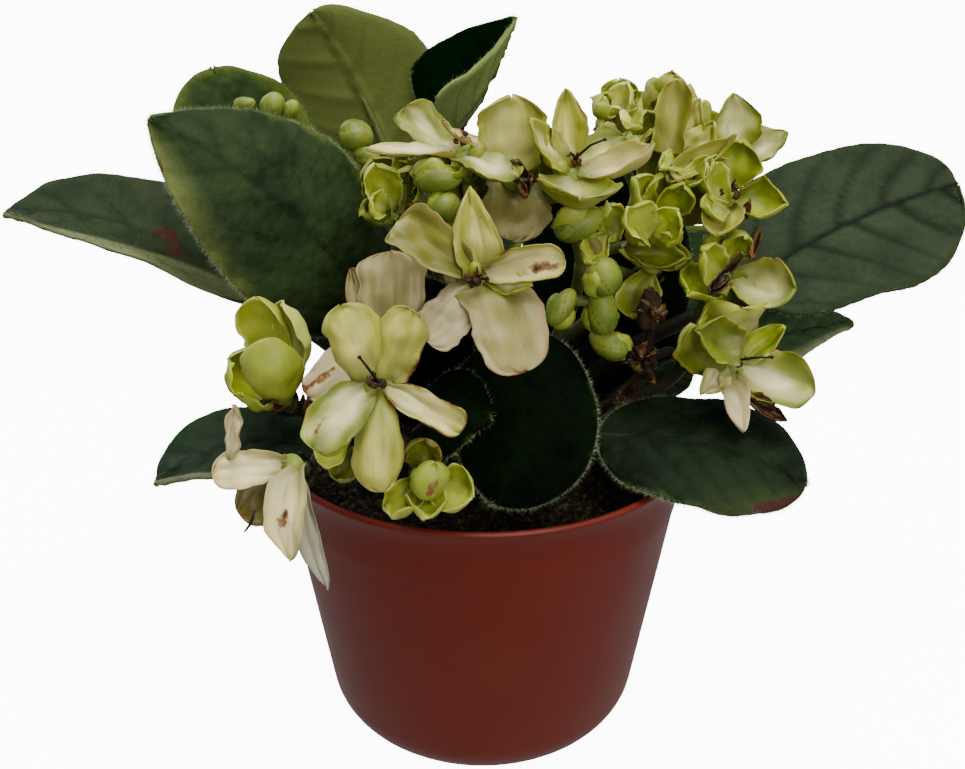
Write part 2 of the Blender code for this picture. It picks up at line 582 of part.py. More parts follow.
# The pot: a thin turned wall with a flared lip, a crease and a rounded foot
lip_outer = [
    (RIM_RADIUS - 1.0, POT_HEIGHT), (RIM_RADIUS - 0.1, POT_HEIGHT - 0.2),
    (RIM_RADIUS - 0.8, POT_HEIGHT - 1.8), (RIM_RADIUS - 1.4, POT_HEIGHT - 3.6),
    (RIM_RADIUS - 1.65, CREASE_HEIGHT + 0.2),
]
lip_inner = [
    (RIM_RADIUS - 2.85, CREASE_HEIGHT + 0.2), (RIM_RADIUS - 2.5, POT_HEIGHT - 3.6),
    (RIM_RADIUS - 1.2, POT_HEIGHT - 0.6),
]
pot_profile = [(0, WALL)] + wall_line(WALL)[::-1] + lip_inner + lip_outer + wall_line(0) + [(0, 0)]
pot = turned("pot", pot_profile)
for i in range(DRAIN_HOLES):
    turn = 2 * pi * i / DRAIN_HOLES
    x, y = DRAIN_CIRCLE * cos(turn), DRAIN_CIRCLE * sin(turn)
    hole = cone((x, y, -1), (x, y, WALL + 1), DRAIN_RADIUS, DRAIN_RADIUS, 10)
    hole.hide_render = True
    hole.display_type = "WIRE"
    hole.name = "drain_cutter"
    plant.objects.unlink(hole)
    cutters.objects.link(hole)
drain = pot.modifiers.new("Drain holes", "BOOLEAN")
drain.operand_type = "COLLECTION"
drain.collection = cutters
finish(pot, pot_plastic)

# The soil: a plug that follows the wall, with a hole for each stem
inset = WALL + CLEARANCE
soil = turned("soil", [(0, SOIL_HEIGHT + 0.6), (12, SOIL_HEIGHT + 0.3), (RIM_RADIUS - 2.95, SOIL_HEIGHT)]
              + wall_line(inset, 3) + [(0, inset)])
root_holes = bpy.data.collections.new("Root holes")
bpy.context.scene.collection.children.link(root_holes)
for x, y in [row[1] for row in LEAVES + STALKS] + [DRIED_ROOT]:
    bottom = SOIL_HEIGHT - ROOT_DEPTH - CLEARANCE
    hole = cone((x, y, bottom), (x, y, SOIL_HEIGHT + 5), HOLE_RADIUS, HOLE_RADIUS)
    hole.hide_render = True
    hole.display_type = "WIRE"
    hole.name = "root_cutter"
    plant.objects.unlink(hole)
    root_holes.objects.link(hole)
roots = soil.modifiers.new("Root holes", "BOOLEAN")
roots.operand_type = "COLLECTION"
roots.collection = root_holes
finish(soil, soil_dark)
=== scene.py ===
"""A miniature African violet in a small nursery pot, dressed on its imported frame.

Sizes are in millimetres and become metres as each mesh is made.
The pot's underside is at the origin and the front of the plant faces -Y.
"""

import json
from math import cos, pi, radians, sin
from random import Random

import bmesh
import bpy
import numpy as np
from mathutils import Matrix, Vector, noise

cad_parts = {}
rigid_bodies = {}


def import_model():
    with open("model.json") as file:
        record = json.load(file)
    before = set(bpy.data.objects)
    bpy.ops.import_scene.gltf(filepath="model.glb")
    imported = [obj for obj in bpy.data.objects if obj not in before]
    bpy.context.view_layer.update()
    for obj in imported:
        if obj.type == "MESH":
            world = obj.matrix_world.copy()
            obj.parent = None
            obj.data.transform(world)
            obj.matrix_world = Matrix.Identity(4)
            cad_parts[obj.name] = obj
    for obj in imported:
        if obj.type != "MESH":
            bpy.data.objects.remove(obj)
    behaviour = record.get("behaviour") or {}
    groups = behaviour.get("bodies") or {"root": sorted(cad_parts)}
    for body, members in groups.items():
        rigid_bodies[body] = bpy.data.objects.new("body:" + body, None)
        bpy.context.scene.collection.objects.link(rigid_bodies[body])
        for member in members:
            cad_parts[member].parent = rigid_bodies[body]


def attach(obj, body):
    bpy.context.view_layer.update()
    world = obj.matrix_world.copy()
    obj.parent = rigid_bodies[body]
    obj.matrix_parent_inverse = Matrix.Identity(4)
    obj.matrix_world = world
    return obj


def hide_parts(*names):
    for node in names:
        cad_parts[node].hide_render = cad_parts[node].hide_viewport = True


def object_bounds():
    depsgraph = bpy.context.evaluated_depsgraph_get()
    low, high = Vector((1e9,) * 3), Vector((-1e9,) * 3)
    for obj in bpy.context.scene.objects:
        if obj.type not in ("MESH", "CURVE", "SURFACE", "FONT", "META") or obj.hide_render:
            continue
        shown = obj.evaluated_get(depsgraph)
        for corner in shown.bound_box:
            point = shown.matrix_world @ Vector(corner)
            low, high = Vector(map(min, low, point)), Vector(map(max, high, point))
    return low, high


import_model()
cad_box = [list(corner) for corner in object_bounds()]


# The pot
# A thin moulded plastic nursery pot, red-brown and slightly glossy, with a flared lip,
# a stacking ledge under the lip, a rounded foot and drain holes through its flat base.

MM = 0.001
RIM_RADIUS = 30.0
POT_HEIGHT = 45.3
POT_WALL = 1.1
FOOT_RADIUS = 22.3
FOOT_ROUND = 8.0
POT_TAPER = 0.16
WALL_LEAN = radians(9.1)
LEDGE_HEIGHT = 36.8
DRAIN_HOLES = 6
DRAIN_RADIUS = 2.4
DRAIN_CIRCLE = 10.5


def colour(red, green, blue):
    """A colour as seen on a screen, as the linear values a shader takes."""
    return tuple((value / 255) ** 2.2 for value in (red, green, blue)) + (1.0,)


def add_node(tree, kind, inputs=None, **settings):
    """A node with its settings and its inputs, each a value or a socket that feeds it."""
    made = tree.nodes.new(kind)
    for key, value in settings.items():
        setattr(made, key, value)
    for key, value in (inputs or {}).items():
        if isinstance(value, bpy.types.NodeSocket):
            tree.links.new(value, made.inputs[key])
        else:
            made.inputs[key].default_value = value
    return made


def blend(tree, share, first, second, how="MIX"):
    """The first colour mixed with the second."""
    made = add_node(tree, "ShaderNodeMix", {0: share, 6: first, 7: second},
                    data_type="RGBA", blend_type=how)
    return made.outputs[2]


def sum_of(tree, how, first, second, third=0.0, clamp=False):
    """One step of arithmetic on masks."""
    made = add_node(tree, "ShaderNodeMath", {0: first, 1: second, 2: third},
                    operation=how, use_clamp=clamp)
    return made.outputs[0]


def times(tree, first, second):
    """One mask times another mask or a number."""
    return sum_of(tree, "MULTIPLY", first, second)


def step_between(tree, value, low, high):
    """A soft step from 0 to 1 as a mask goes from low to high."""
    made = add_node(tree, "ShaderNodeMapRange", {"Value": value, "From Min": low, "From Max": high},
                    interpolation_type="SMOOTHSTEP")
    return made.outputs[0]


def mark(tree, name, kind="Fac"):
    """A mark that the mesh carries, such as how near its margin a point is."""
    return add_node(tree, "ShaderNodeAttribute", attribute_name=name).outputs[kind]


def speckle(tree, place, scale, detail, roughness=0.5):
    """Cloudy noise from 0 to 1."""
    made = add_node(tree, "ShaderNodeTexNoise",
                    {"Vector": place, "Scale": scale, "Detail": detail, "Roughness": roughness})
    return made.outputs[0]


def skin_group(name, colours, numbers=()):
    """A new skin's node group, its named inputs and the place on the piece that it colours."""
    tree = bpy.data.node_groups.new(name, "ShaderNodeTree")
    for key in (*colours, *numbers):
        kind = "NodeSocketColor" if key in colours else "NodeSocketFloat"
        tree.interface.new_socket(key, in_out="INPUT", socket_type=kind)
    for key, kind in (("Colour", "Color"), ("Roughness", "Float"), ("Height", "Float")):
        tree.interface.new_socket(key, in_out="OUTPUT", socket_type="NodeSocket" + kind)
    place = add_node(tree, "ShaderNodeTexCoord").outputs["Object"]
    return tree, tree.nodes.new("NodeGroupInput").outputs, place


def put_out(tree, tone, roughness, height):
    """Ends a skin's node group with what it puts out."""
    add_node(tree, "NodeGroupOutput", {"Colour": tone, "Roughness": roughness, "Height": height})


def skin_material(name, group, values, gloss, glow=0.0, bump=0.3, depth=0.0002):
    """A material whose colour, roughness and bump come from a skin; glow is the light it lets in."""
    made = bpy.data.materials.new(name)
    made.use_nodes = True
    tree = made.node_tree
    shader = tree.nodes["Principled BSDF"]
    skin = add_node(tree, "ShaderNodeGroup", node_tree=group)
    for key, value in values.items():
        skin.inputs[key].default_value = colour(*value) if isinstance(value, tuple) else value
    shader.inputs["Specular IOR Level"].default_value = gloss
    if glow:
        shader.inputs["Subsurface Weight"].default_value = glow
        shader.inputs["Subsurface Scale"].default_value = MM
    tree.links.new(skin.outputs["Colour"], shader.inputs["Base Color"])
    tree.links.new(skin.outputs["Roughness"], shader.inputs["Roughness"])
    height = add_node(tree, "ShaderNodeBump",
                      {"Strength": bump, "Distance": depth, "Height": skin.outputs["Height"]})
    tree.links.new(height.outputs[0], shader.inputs["Normal"])
    return made


def place_on(piece, node):
    """Ties a finished piece to the frame in place of its solid, with no hair beyond the frame's box."""
    points = np.empty(len(piece.data.vertices) * 3)
    piece.data.vertices.foreach_get("co", points)
    kept = np.clip(points.reshape(-1, 3), cad_box[0], cad_box[1])
    piece.data.vertices.foreach_set("co", kept.ravel())
    piece.data.update()
    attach(piece, "root")
    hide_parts(node)


def as_plain_mesh(source, name):
    """The object as its modifiers leave it, as a plain mesh object; the source is removed."""
    graph = bpy.context.evaluated_depsgraph_get()
    mesh = bpy.data.meshes.new_from_object(source.evaluated_get(graph))
    made = bpy.data.objects.new(name, mesh)
    mesh.name = name
    bpy.context.scene.collection.objects.link(made)
    bpy.data.objects.remove(source)
    return made


def turned(name, profile, steps=128):
    """A profile of radius and height, run down its outer side, turned about the Z axis."""
    mesh = bpy.data.meshes.new(name)
    points = [(radius * MM, 0, height * MM) for radius, height in profile]
    mesh.from_pydata(points, [(i, i + 1) for i in range(len(points) - 1)], [])
    made = bpy.data.objects.new(name, mesh)
    bpy.context.scene.collection.objects.link(made)
    screw = made.modifiers.new("Turn", "SCREW")
    screw.steps = steps
    screw.render_steps = steps
    screw.use_merge_vertices = True
    screw.merge_threshold = 0.00001
    return made


def wall_line(inset, steps=10):
    """The pot's wall from the ledge down to its flat base, moved in by inset."""
    middle = FOOT_RADIUS + POT_TAPER * FOOT_ROUND - FOOT_ROUND / cos(WALL_LEAN)
    rounding = FOOT_ROUND - inset
    line = []
    for height in (LEDGE_HEIGHT - 0.3, LEDGE_HEIGHT - 0.8, 28, 20, 13):
        line.append((FOOT_RADIUS + POT_TAPER * height - inset, height))
    for i in range(steps + 1):
        angle = -WALL_LEAN - (pi / 2 - WALL_LEAN) * i / steps
        line.append((middle + rounding * cos(angle), FOOT_ROUND + rounding * sin(angle)))
    return line


lip_inside = [(27.15, LEDGE_HEIGHT + 0.3), (27.4, 39.5), (27.75, 42.0), (28.3, 43.8), (28.85, 44.9)]
lip_outside = [
    (29.15, 45.25), (29.5, POT_HEIGHT), (29.85, 45.2), (29.98, 44.95), (29.85, 44.6), (29.4, 43.9),
    (29.0, 42.9), (28.7, 41.7), (28.5, 40.2), (28.4, 38.6), (28.35, LEDGE_HEIGHT + 0.4),
]
inner_wall = [(0, POT_WALL)] + wall_line(POT_WALL)[::-1] + lip_inside
pot = turned("nursery_pot", inner_wall + lip_outside + wall_line(0) + [(0, 0)])

drain_collection = bpy.data.collections.new("drain holes")
bpy.context.scene.collection.children.link(drain_collection)
for i in range(DRAIN_HOLES):
    turn = 2 * pi * i / DRAIN_HOLES
    shape = bmesh.new()
    bmesh.ops.create_cone(shape, cap_ends=True, segments=24, radius1=DRAIN_RADIUS * MM,
                          radius2=DRAIN_RADIUS * MM, depth=6 * MM)
    shape.transform(Matrix.Translation((DRAIN_CIRCLE * MM * cos(turn), DRAIN_CIRCLE * MM * sin(turn), 0)))
    drill = bpy.data.meshes.new("drain")
    shape.to_mesh(drill)
    shape.free()
    drain_collection.objects.link(bpy.data.objects.new("drain", drill))
drained = pot.modifiers.new("Drain holes", "BOOLEAN")
drained.operand_type = "COLLECTION"
drained.collection = drain_collection
pot = as_plain_mesh(pot, "nursery_pot")
for drill in list(drain_collection.objects):
    bpy.data.objects.remove(drill)
pot.data.shade_smooth()
pot.data.set_sharp_from_angle(angle=radians(55))

plastic_group, given, place = skin_group("moulded plastic", ("Body", "Worn", "Dust", "Inside"))
tree = plastic_group
streaked = add_node(tree, "ShaderNodeMapping", {"Vector": place, "Scale": (1, 1, 0.12)}).outputs[0]
flow = speckle(tree, streaked, 260, 3)
cloud = speckle(tree, place, 70, 4, 0.6)
fine = speckle(tree, place, 2600, 2)
tone = blend(tree, times(tree, flow, 0.6), given["Body"], given["Worn"])
height = add_node(tree, "ShaderNodeSeparateXYZ", {0: place}).outputs["Z"]
low_dust = step_between(tree, height, 0.018, 0.0)
dusty = times(tree, sum_of(tree, "ADD", low_dust, 0.25), step_between(tree, cloud, 0.45, 0.75))
tone = blend(tree, times(tree, dusty, 0.2), tone, given["Dust"])
flat_place = add_node(tree, "ShaderNodeVectorMath", {0: place, 1: (1, 1, 0)}, operation="MULTIPLY")
from_axis = add_node(tree, "ShaderNodeVectorMath", {0: flat_place.outputs[0]}, operation="LENGTH")
outer_wall = sum_of(tree, "MULTIPLY_ADD", height, POT_TAPER, FOOT_RADIUS * MM)
past_wall = sum_of(tree, "SUBTRACT", from_axis.outputs["Value"], outer_wall)
# The inner wall above the foot is painted darker: painted shade inside the pot.
inside = step_between(tree, past_wall, -0.0002, -0.0009)
above_foot = step_between(tree, height, 0.012, 0.018)
tone = blend(tree, times(tree, inside, above_foot), tone, given["Inside"])
put_out(tree, tone, sum_of(tree, "MULTIPLY_ADD", cloud, 0.25, 0.3),
        sum_of(tree, "MULTIPLY_ADD", fine, 0.4, times(tree, flow, 0.6)))

# The dark inner colour is painted shade, not a colour of the plastic.
pot_plastic = skin_material(
    "red-brown pot plastic", plastic_group,
    {"Body": (88, 28, 15), "Worn": (96, 35, 21), "Dust": (112, 72, 56), "Inside": (36, 17, 11)},
    gloss=0.22, bump=0.25, depth=0.0001)
pot.data.materials.clear()
pot.data.materials.append(pot_plastic)
place_on(pot, "pot")


# The soil
# Damp dark peat filled to five millimetres under the rim, its top uneven and crumbly.
# Lumps of peat and bark are scattered over it and it fills the pot down to the base.

SOIL_HEIGHT = 40.0
SOIL_DOME = 0.6
SOIL_GAP = 0.3


def crumbly_top(radius, rings=26):
    """The soil's profile across its top, from the middle out."""
    return [(radius * i / rings, SOIL_HEIGHT + SOIL_DOME - SOIL_DOME * (i / rings) ** 2)
            for i in range(rings + 1)]


soil_inset = POT_WALL + SOIL_GAP
soil = turned("peat profile",
              crumbly_top(RIM_RADIUS - 2.95) + wall_line(soil_inset) + [(0, soil_inset)], 110)
soil = as_plain_mesh(soil, "peat_filling")
for vert in soil.data.vertices:
    reach = Vector((vert.co.x, vert.co.y)).length / MM
    if vert.co.z > (SOIL_HEIGHT - 0.1) * MM and reach < RIM_RADIUS - 3.2:
        lump = noise.noise(vert.co * 900) * 0.5 + noise.noise(vert.co * 260) * 0.9
        vert.co.z += (lump * 0.6 - 0.1) * MM
soil.data.shade_smooth()
crumbly = []
for vert in soil.data.vertices:
    reach = Vector((vert.co.x, vert.co.y)).length
    on_top = vert.co.z > (SOIL_HEIGHT - 1) * MM and reach < (RIM_RADIUS - 3.6) * MM
    crumbly.append(1.0 if on_top else 0.0)
soil.data.attributes.new("top", "FLOAT", "POINT").data.foreach_set("value", crumbly)

peat_group, given, place = skin_group("damp peat", ("Dark", "Light"))
tree = peat_group
crumb = speckle(tree, place, 900, 5, 0.7)
fibre = speckle(tree, place, 3200, 3, 0.7)
put_out(tree, blend(tree, step_between(tree, crumb, 0.45, 0.7), given["Dark"], given["Light"]),
        sum_of(tree, "MULTIPLY_ADD", fibre, 0.3, 0.65), sum_of(tree, "ADD", crumb, fibre))
peat = skin_material("damp peat", peat_group, {"Dark": (27, 24, 17), "Light": (56, 49, 35)},
                     gloss=0.1, bump=0.9, depth=0.0006)
bark = skin_material("peat lumps", peat_group, {"Dark": (30, 27, 19), "Light": (72, 63, 46)},
                     gloss=0.1, bump=0.7, depth=0.0004)


def sowing_tree(name, inputs):
    """A Geometry Nodes tree that sows shapes over a mesh, and its named inputs."""
    tree = bpy.data.node_groups.new(name, "GeometryNodeTree")
    for key, kind in (("Geometry", "Geometry"), *inputs):
        tree.interface.new_socket(key, in_out="INPUT", socket_type="NodeSocket" + kind)
    tree.interface.new_socket("Geometry", in_out="OUTPUT", socket_type="NodeSocketGeometry")
    return tree, tree.nodes.new("NodeGroupInput").outputs


def sown_over(tree, given, mark_name, density, seed):
    """Points strewn over the mesh, as close as its mark says."""
    marked = add_node(tree, "GeometryNodeInputNamedAttribute", {"Name": mark_name}, data_type="FLOAT")
    return add_node(tree, "GeometryNodeDistributePointsOnFaces", {
        "Mesh": given["Geometry"], "Density": times(tree, density, marked.outputs[0]), "Seed": seed})


def random_value(tree, low, high, seed, kind="FLOAT_VECTOR"):
    """A random vector, or with kind FLOAT a random number, for each point."""
    first = 0 if kind == "FLOAT_VECTOR" else 2
    made = add_node(tree, "FunctionNodeRandomValue", {first: low, first + 1: high, "Seed": seed},
                    data_type=kind)
    return made.outputs[first // 2]


def stand_on(tree, given, points, shape, rotation, scale, material):
    """Ends the tree: the shape on every point, made real, in its material and joined to the mesh."""
    stood = add_node(tree, "GeometryNodeInstanceOnPoints", {
        "Points": points, "Instance": shape, "Rotation": rotation, "Scale": scale})
    real = add_node(tree, "GeometryNodeRealizeInstances", {"Geometry": stood.outputs[0]})
    clad = add_node(tree, "GeometryNodeSetMaterial", {"Geometry": real.outputs[0], "Material": material})
    joined = tree.nodes.new("GeometryNodeJoinGeometry")
    tree.links.new(given["Geometry"], joined.inputs[0])
    tree.links.new(clad.outputs[0], joined.inputs[0])
    add_node(tree, "NodeGroupOutput", {"Geometry": joined.outputs[0]})


def grow(piece, tree, settings):
    """The piece with what the tree sows on it, as one plain mesh under the same name."""
    name = piece.name
    sown = piece.modifiers.new("Sown", "NODES")
    sown.node_group = tree
    for socket in tree.interface.items_tree:
        if socket.name in settings:
            sown[socket.identifier] = settings[socket.name]
    piece.name = "bare " + name
    return as_plain_mesh(piece, name)


crumbs_tree, given = sowing_tree("peat crumbs", (
    ("Crumbs per square metre", "Float"), ("Smallest", "Float"), ("Largest", "Float")))
tree = crumbs_tree
thrown = sown_over(tree, given, "top", given["Crumbs per square metre"], 4)
lump = add_node(tree, "GeometryNodeMeshIcoSphere", {"Radius": 1.0, "Subdivisions": 1})
spun = random_value(tree, (0, 0, 0), (6.3, 6.3, 6.3), 5)
sized = random_value(tree, given["Smallest"], given["Largest"], 6, "FLOAT")
flat = random_value(tree, (0.6, 0.6, 0.4), (1.4, 1.0, 1.0), 7)
scaled = add_node(tree, "ShaderNodeVectorMath", {0: flat, "Scale": sized}, operation="SCALE")
stand_on(tree, given, thrown.outputs["Points"], lump.outputs["Mesh"], spun, scaled.outputs[0], bark)

soil.data.materials.clear()
soil.data.materials.append(peat)
soil = grow(soil, crumbs_tree, {
    "Crumbs per square metre": 1400000.0, "Smallest": 0.25 * MM, "Largest": 0.85 * MM})
place_on(soil, "soil")


# The leaves
# Thick fleshy blades, dark green and velvety above and paler beneath, on round petioles.
# Each has a sunk midrib and side veins, a finely scalloped margin and short pale hairs.

LEAF_THICKNESS = 0.9
PETIOLE_RADIUS = 1.15
ROOT_DEPTH = 2.5

# Name, where it is rooted, blade base, halfway point, tip,
# width, the way its upper side faces, fold and cup in degrees, where it is widest, how pointed its tip is
LEAVES = (
    ("leaf_back_upright", (-5, 10), (-13.9, 22.5, 79.7), (-19, 26.5, 90.7), (-25.3, 27.5, 101.2),
     24.5, (0.1, 1, 0.2), 0, 5, 0.5, 0.1),
    ("leaf_back_folded", (0, 12), (-6, 16, 84), (0.5, 19, 91.5), (4.5, 22, 101),
     22, (-0.85, -0.3, 0.45), 50, 0, 0.4, 0.8),
    ("leaf_left_rear", (-10, 8), (-27, 17, 70.5), (-34.9, 19.3, 82.7), (-39.5, 21.3, 93.7),
     20.5, (0.15, -0.75, 0.6), 0, 5, 0.5, 0),
    ("leaf_left_tall", (-9, 2.5), (-15.5, 1, 62), (-25.3, -5, 78.8), (-42.3, -4, 90.7),
     24, (0.35, -0.8, 0.5), 0, -5, 0.45, 0.6),
    ("leaf_left_flat", (-13.5, 3), (-31.5, 5, 63.8), (-48, 3, 74.3), (-64, -1, 77.5),
     19.5, (0.05, -0.35, 0.93), 0, 20, 0.45, 0.6),
    ("leaf_left_low", (-11, -7), (-21, -14, 48), (-31.5, -16.6, 50.7), (-42, -20, 47.2),
     14, (-0.1, -0.3, 0.95), 0, 8, 0.45, 0.3),
    ("leaf_right_large", (13, 8), (37.5, 8, 64), (53.5, 14, 72), (70, 16, 77.7),
     26.5, (-0.25, -0.75, 0.6), 0, 3, 0.36, -0.3),
    ("leaf_right_small", (16.5, 2), (38.8, 10.5, 54.6), (47.2, 10.5, 56.5), (54.7, 8, 58.8),
     11, (0, -0.6, 0.8), 10, 0, 0.4, 1),
    ("leaf_right_low", (9, -8), (15.5, -12, 50), (28, -16, 50.5), (41.5, -20, 47),
     20, (0.05, -0.4, 0.92), 0, -5, 0.55, 0),
    ("leaf_front_right", (4, -10), (3, -12, 65), (5, -24, 59), (1.5, -28, 48.5),
     18.5, (0.1, -0.8, 0.6), 0, -5, 0.5, 0.1),
    ("leaf_front_left", (-3, -13), (-8, -21, 54.8), (-4.6, -25.9, 59.5), (1, -28.9, 60.3),
     12.5, (0.1, -0.7, 0.7), 0, -5, 0.5, 0.6),
    ("leaf_inner", (-4.6, -0.8), (-7.5, -2, 47), (-8.5, -2.6, 58), (-8, -2, 69),
     16, (0, -1, 0.2), 0, 0, 0.5, -0.2),
    ("leaf_middle", (16, 11), (16, 12.3, 46), (18, 15, 62), (19, 19, 80),
     27, (0.05, -1, 0.35), 0, 4, 0.4, -0.2),
    ("leaf_young", (9, 4.5), (23, 1, 49), (27, 3, 51.7), (30.6, 4, 52.6),
     5, (0.1, -0.8, 0.6), 0, 10, 0.5, 0),
    ("leaf_rear_a", (-9, 13), (-18, 27, 57.5), (-24, 37.5, 64.5), (-30.5, 48.5, 65.5),
     21, (-0.3, 0.3, 0.9), 0, 5, 0.45, 0),
    ("leaf_rear_b", (1, 17), (-1, 30, 60), (-2, 42, 67), (-2, 55, 68),
     21, (0, -0.2, 0.95), 0, 5, 0.45, 0),
    ("leaf_rear_c", (12, 12.5), (27, 25, 54), (36, 34, 60), (46, 41, 61),
     22, (0.1, -0.2, 0.95), 0, 5, 0.45, 0),
    ("leaf_rear_d", (-15, 9), (-32, 21, 60), (-41, 25, 66), (-51, 28, 68),
     19, (0, -0.3, 0.95), 0, 5, 0.45, 0),
)


def unit(vectors):
    """Vectors of length one."""
    return vectors / (np.linalg.norm(vectors, axis=-1, keepdims=True) + 1e-12)


def rooted(root, leaving, end, arriving, count):
    """A stem's line: straight up out of its hole in the soil, then bent over to its end."""
    collar = np.array((*root, SOIL_HEIGHT + 1.5), float)
    foot = np.array([(*root, SOIL_HEIGHT - ROOT_DEPTH)], float)
    return np.concatenate([foot, bend(collar, (0, 0, leaving), end, arriving, count)])


def bend(start, leaving, end, arriving, count):
    """A smooth line from start to end that leaves and arrives along the two handles."""
    start, end = np.array(start, float), np.array(end, float)
    first, last = start + np.array(leaving), end - np.array(arriving)
    t = np.linspace(0, 1, count + 1)[:, None]
    near = (1 - t) ** 3 * start + 3 * t * (1 - t) ** 2 * first
    return near + 3 * t * t * (1 - t) * last + t ** 3 * end


def sheet(middle, top, bottom, marks):
    """A thin closed sheet about a grid of points, top and bottom away from it; marks are kept per point."""
    rows, columns = middle.shape[:2]
    across = np.gradient(middle, axis=1)
    along = np.gradient(middle, axis=0)
    normal = unit(np.cross(across, along))
    points = np.concatenate([(middle + normal * top[..., None]).reshape(-1, 3),
                             (middle - normal * bottom[..., None]).reshape(-1, 3)])
    index = np.arange(rows * columns).reshape(rows, columns)
    a, b, c, d = index[:-1, :-1], index[:-1, 1:], index[1:, 1:], index[1:, :-1]
    upper = np.stack([a, b, c, d], -1).reshape(-1, 4)
    lower = np.stack([a, d, c, b], -1).reshape(-1, 4) + rows * columns
    loop = np.concatenate([index[0, :-1], index[:-1, -1], index[-1, :0:-1], index[:0:-1, 0]])
    after = np.roll(loop, -1)
    rim = np.stack([loop + rows * columns, after + rows * columns, after, loop], -1)
    faces = np.concatenate([upper, lower, rim]).tolist()
    kept = {}
    for key, value in marks.items():
        value = np.asarray(value, float)
        if value.ndim == 1:
            value = np.broadcast_to(value, (rows, columns, len(value)))
        flat = value.reshape(rows * columns, -1)
        kept[key] = np.concatenate([flat, flat])
    kept["under"] = np.repeat([[0.0], [1.0]], rows * columns, axis=0)
    return points, faces, kept


def stem(line, radii, marks=None, sides=12):
    """A round closed stem along a line."""
    line = np.array(line, float)
    radii = np.broadcast_to(np.array(radii, float), len(line))
    run = unit(np.gradient(line, axis=0))
    first = np.cross(run[0], (0.3, 0.9, 0.1))
    frames = []
    for direction in run:
        first = unit(first - direction * np.dot(first, direction))
        frames.append((first, np.cross(direction, first)))
    turn = np.linspace(0, 2 * pi, sides, endpoint=False)
    rings = [at + radius * (np.cos(turn)[:, None] * u + np.sin(turn)[:, None] * v)
             for at, radius, (u, v) in zip(line, radii, frames)]
    points = np.concatenate(rings)
    faces = []
    for i in range(len(line) - 1):
        for j in range(sides):
            k = (j + 1) % sides
            faces.append((i * sides + j, i * sides + k, (i + 1) * sides + k, (i + 1) * sides + j))
    faces.append(tuple(range(sides))[::-1])
    faces.append(tuple(range(len(points) - sides, len(points))))
    kept = {"along": np.repeat(np.linspace(0, 1, len(line)), sides)[:, None]}
    for key, value in (marks or {}).items():
        kept[key] = np.broadcast_to(np.array(value, float), (len(points), np.size(value)))
    return points, faces, kept


def gather(name, parts, materials):
    """One mesh object from parts of points, faces, marks and the number of their material."""
    points = np.concatenate([part[0] for part in parts]) * MM
    faces, chosen, start = [], [], 0
    for part in parts:
        faces += [tuple(i + start for i in face) for face in part[1]]
        chosen += [part[3]] * len(part[1])
        start += len(part[0])
    mesh = bpy.data.meshes.new(name)
    mesh.from_pydata(points.tolist(), [], faces)
    made = bpy.data.objects.new(name, mesh)
    bpy.context.scene.collection.objects.link(made)
    keys = sorted({key for part in parts for key in part[2]})
    for key in keys:
        wide = max(np.shape(part[2][key])[1] for part in parts if key in part[2])
        values = np.concatenate([
            np.asarray(part[2].get(key, np.zeros((len(part[0]), wide)))) for part in parts])
        if wide == 3:
            values = np.concatenate([values, np.ones((len(values), 1))], axis=1)
            mesh.attributes.new(key, "FLOAT_COLOR", "POINT").data.foreach_set("color", values.ravel())
        else:
            mesh.attributes.new(key, "FLOAT", "POINT").data.foreach_set("value", values.ravel())
    for material in materials:
        mesh.materials.append(material)
    mesh.polygons.foreach_set("material_index", chosen)
    mesh.shade_smooth()
    return made


def blade_line(base, middle, tip, t):
    """The curve through base, middle and tip, and the way it runs."""
    handle = 2 * middle - (base + tip) / 2
    t = t[..., None]
    line = (1 - t) ** 2 * base + 2 * t * (1 - t) * handle + t * t * tip
    return line, (1 - t) * (handle - base) + t * (tip - handle)


def net(rows, columns, crowding, start=0.0):
    """Places across a blade from -1 to 1 and along it from 0 to 1, closer together near its edges."""
    t = 0.5 - 0.5 * np.cos(np.linspace(start, pi, rows))
    s = np.sin(np.linspace(-pi / 2, pi / 2, columns) * crowding) / sin(pi / 2 * crowding)
    return np.meshgrid(s, t)


def spread(line, side, up, reach, across, lift):
    """Points that reach out to both sides of a line and lift away from it by an angle."""
    aside = side * (reach * np.sign(across) * np.cos(lift))[..., None]
    return line + aside + up * (reach * np.sin(lift))[..., None]


def leaf_outline(t, widest, point):
    """The half-width of a leaf blade along it, as a share of its greatest."""
    near = np.maximum(0.14, (1 - np.clip(1 - t / widest, 0, 1) ** 2.3) ** 0.55)
    away = np.clip((t - widest) / (1 - widest), 0, 1)
    far = np.maximum(0.03, (1 - away ** (2.3 - 0.5 * point)) ** (0.5 + 0.5 * point))
    return np.where(t < widest, near, far)


TRIM_STOPS = (0, 0.15, 0.3, 0.45, 0.6, 0.75, 0.85, 0.93)


def noise_field(first, second, level=7.3):
    """Smooth bumps from -1 to 1 over a grid."""
    flat = [noise.noise(Vector((u, v, level))) for u, v in zip(np.ravel(first), np.ravel(second))]
    return np.reshape(flat, np.shape(first)) * 1.6


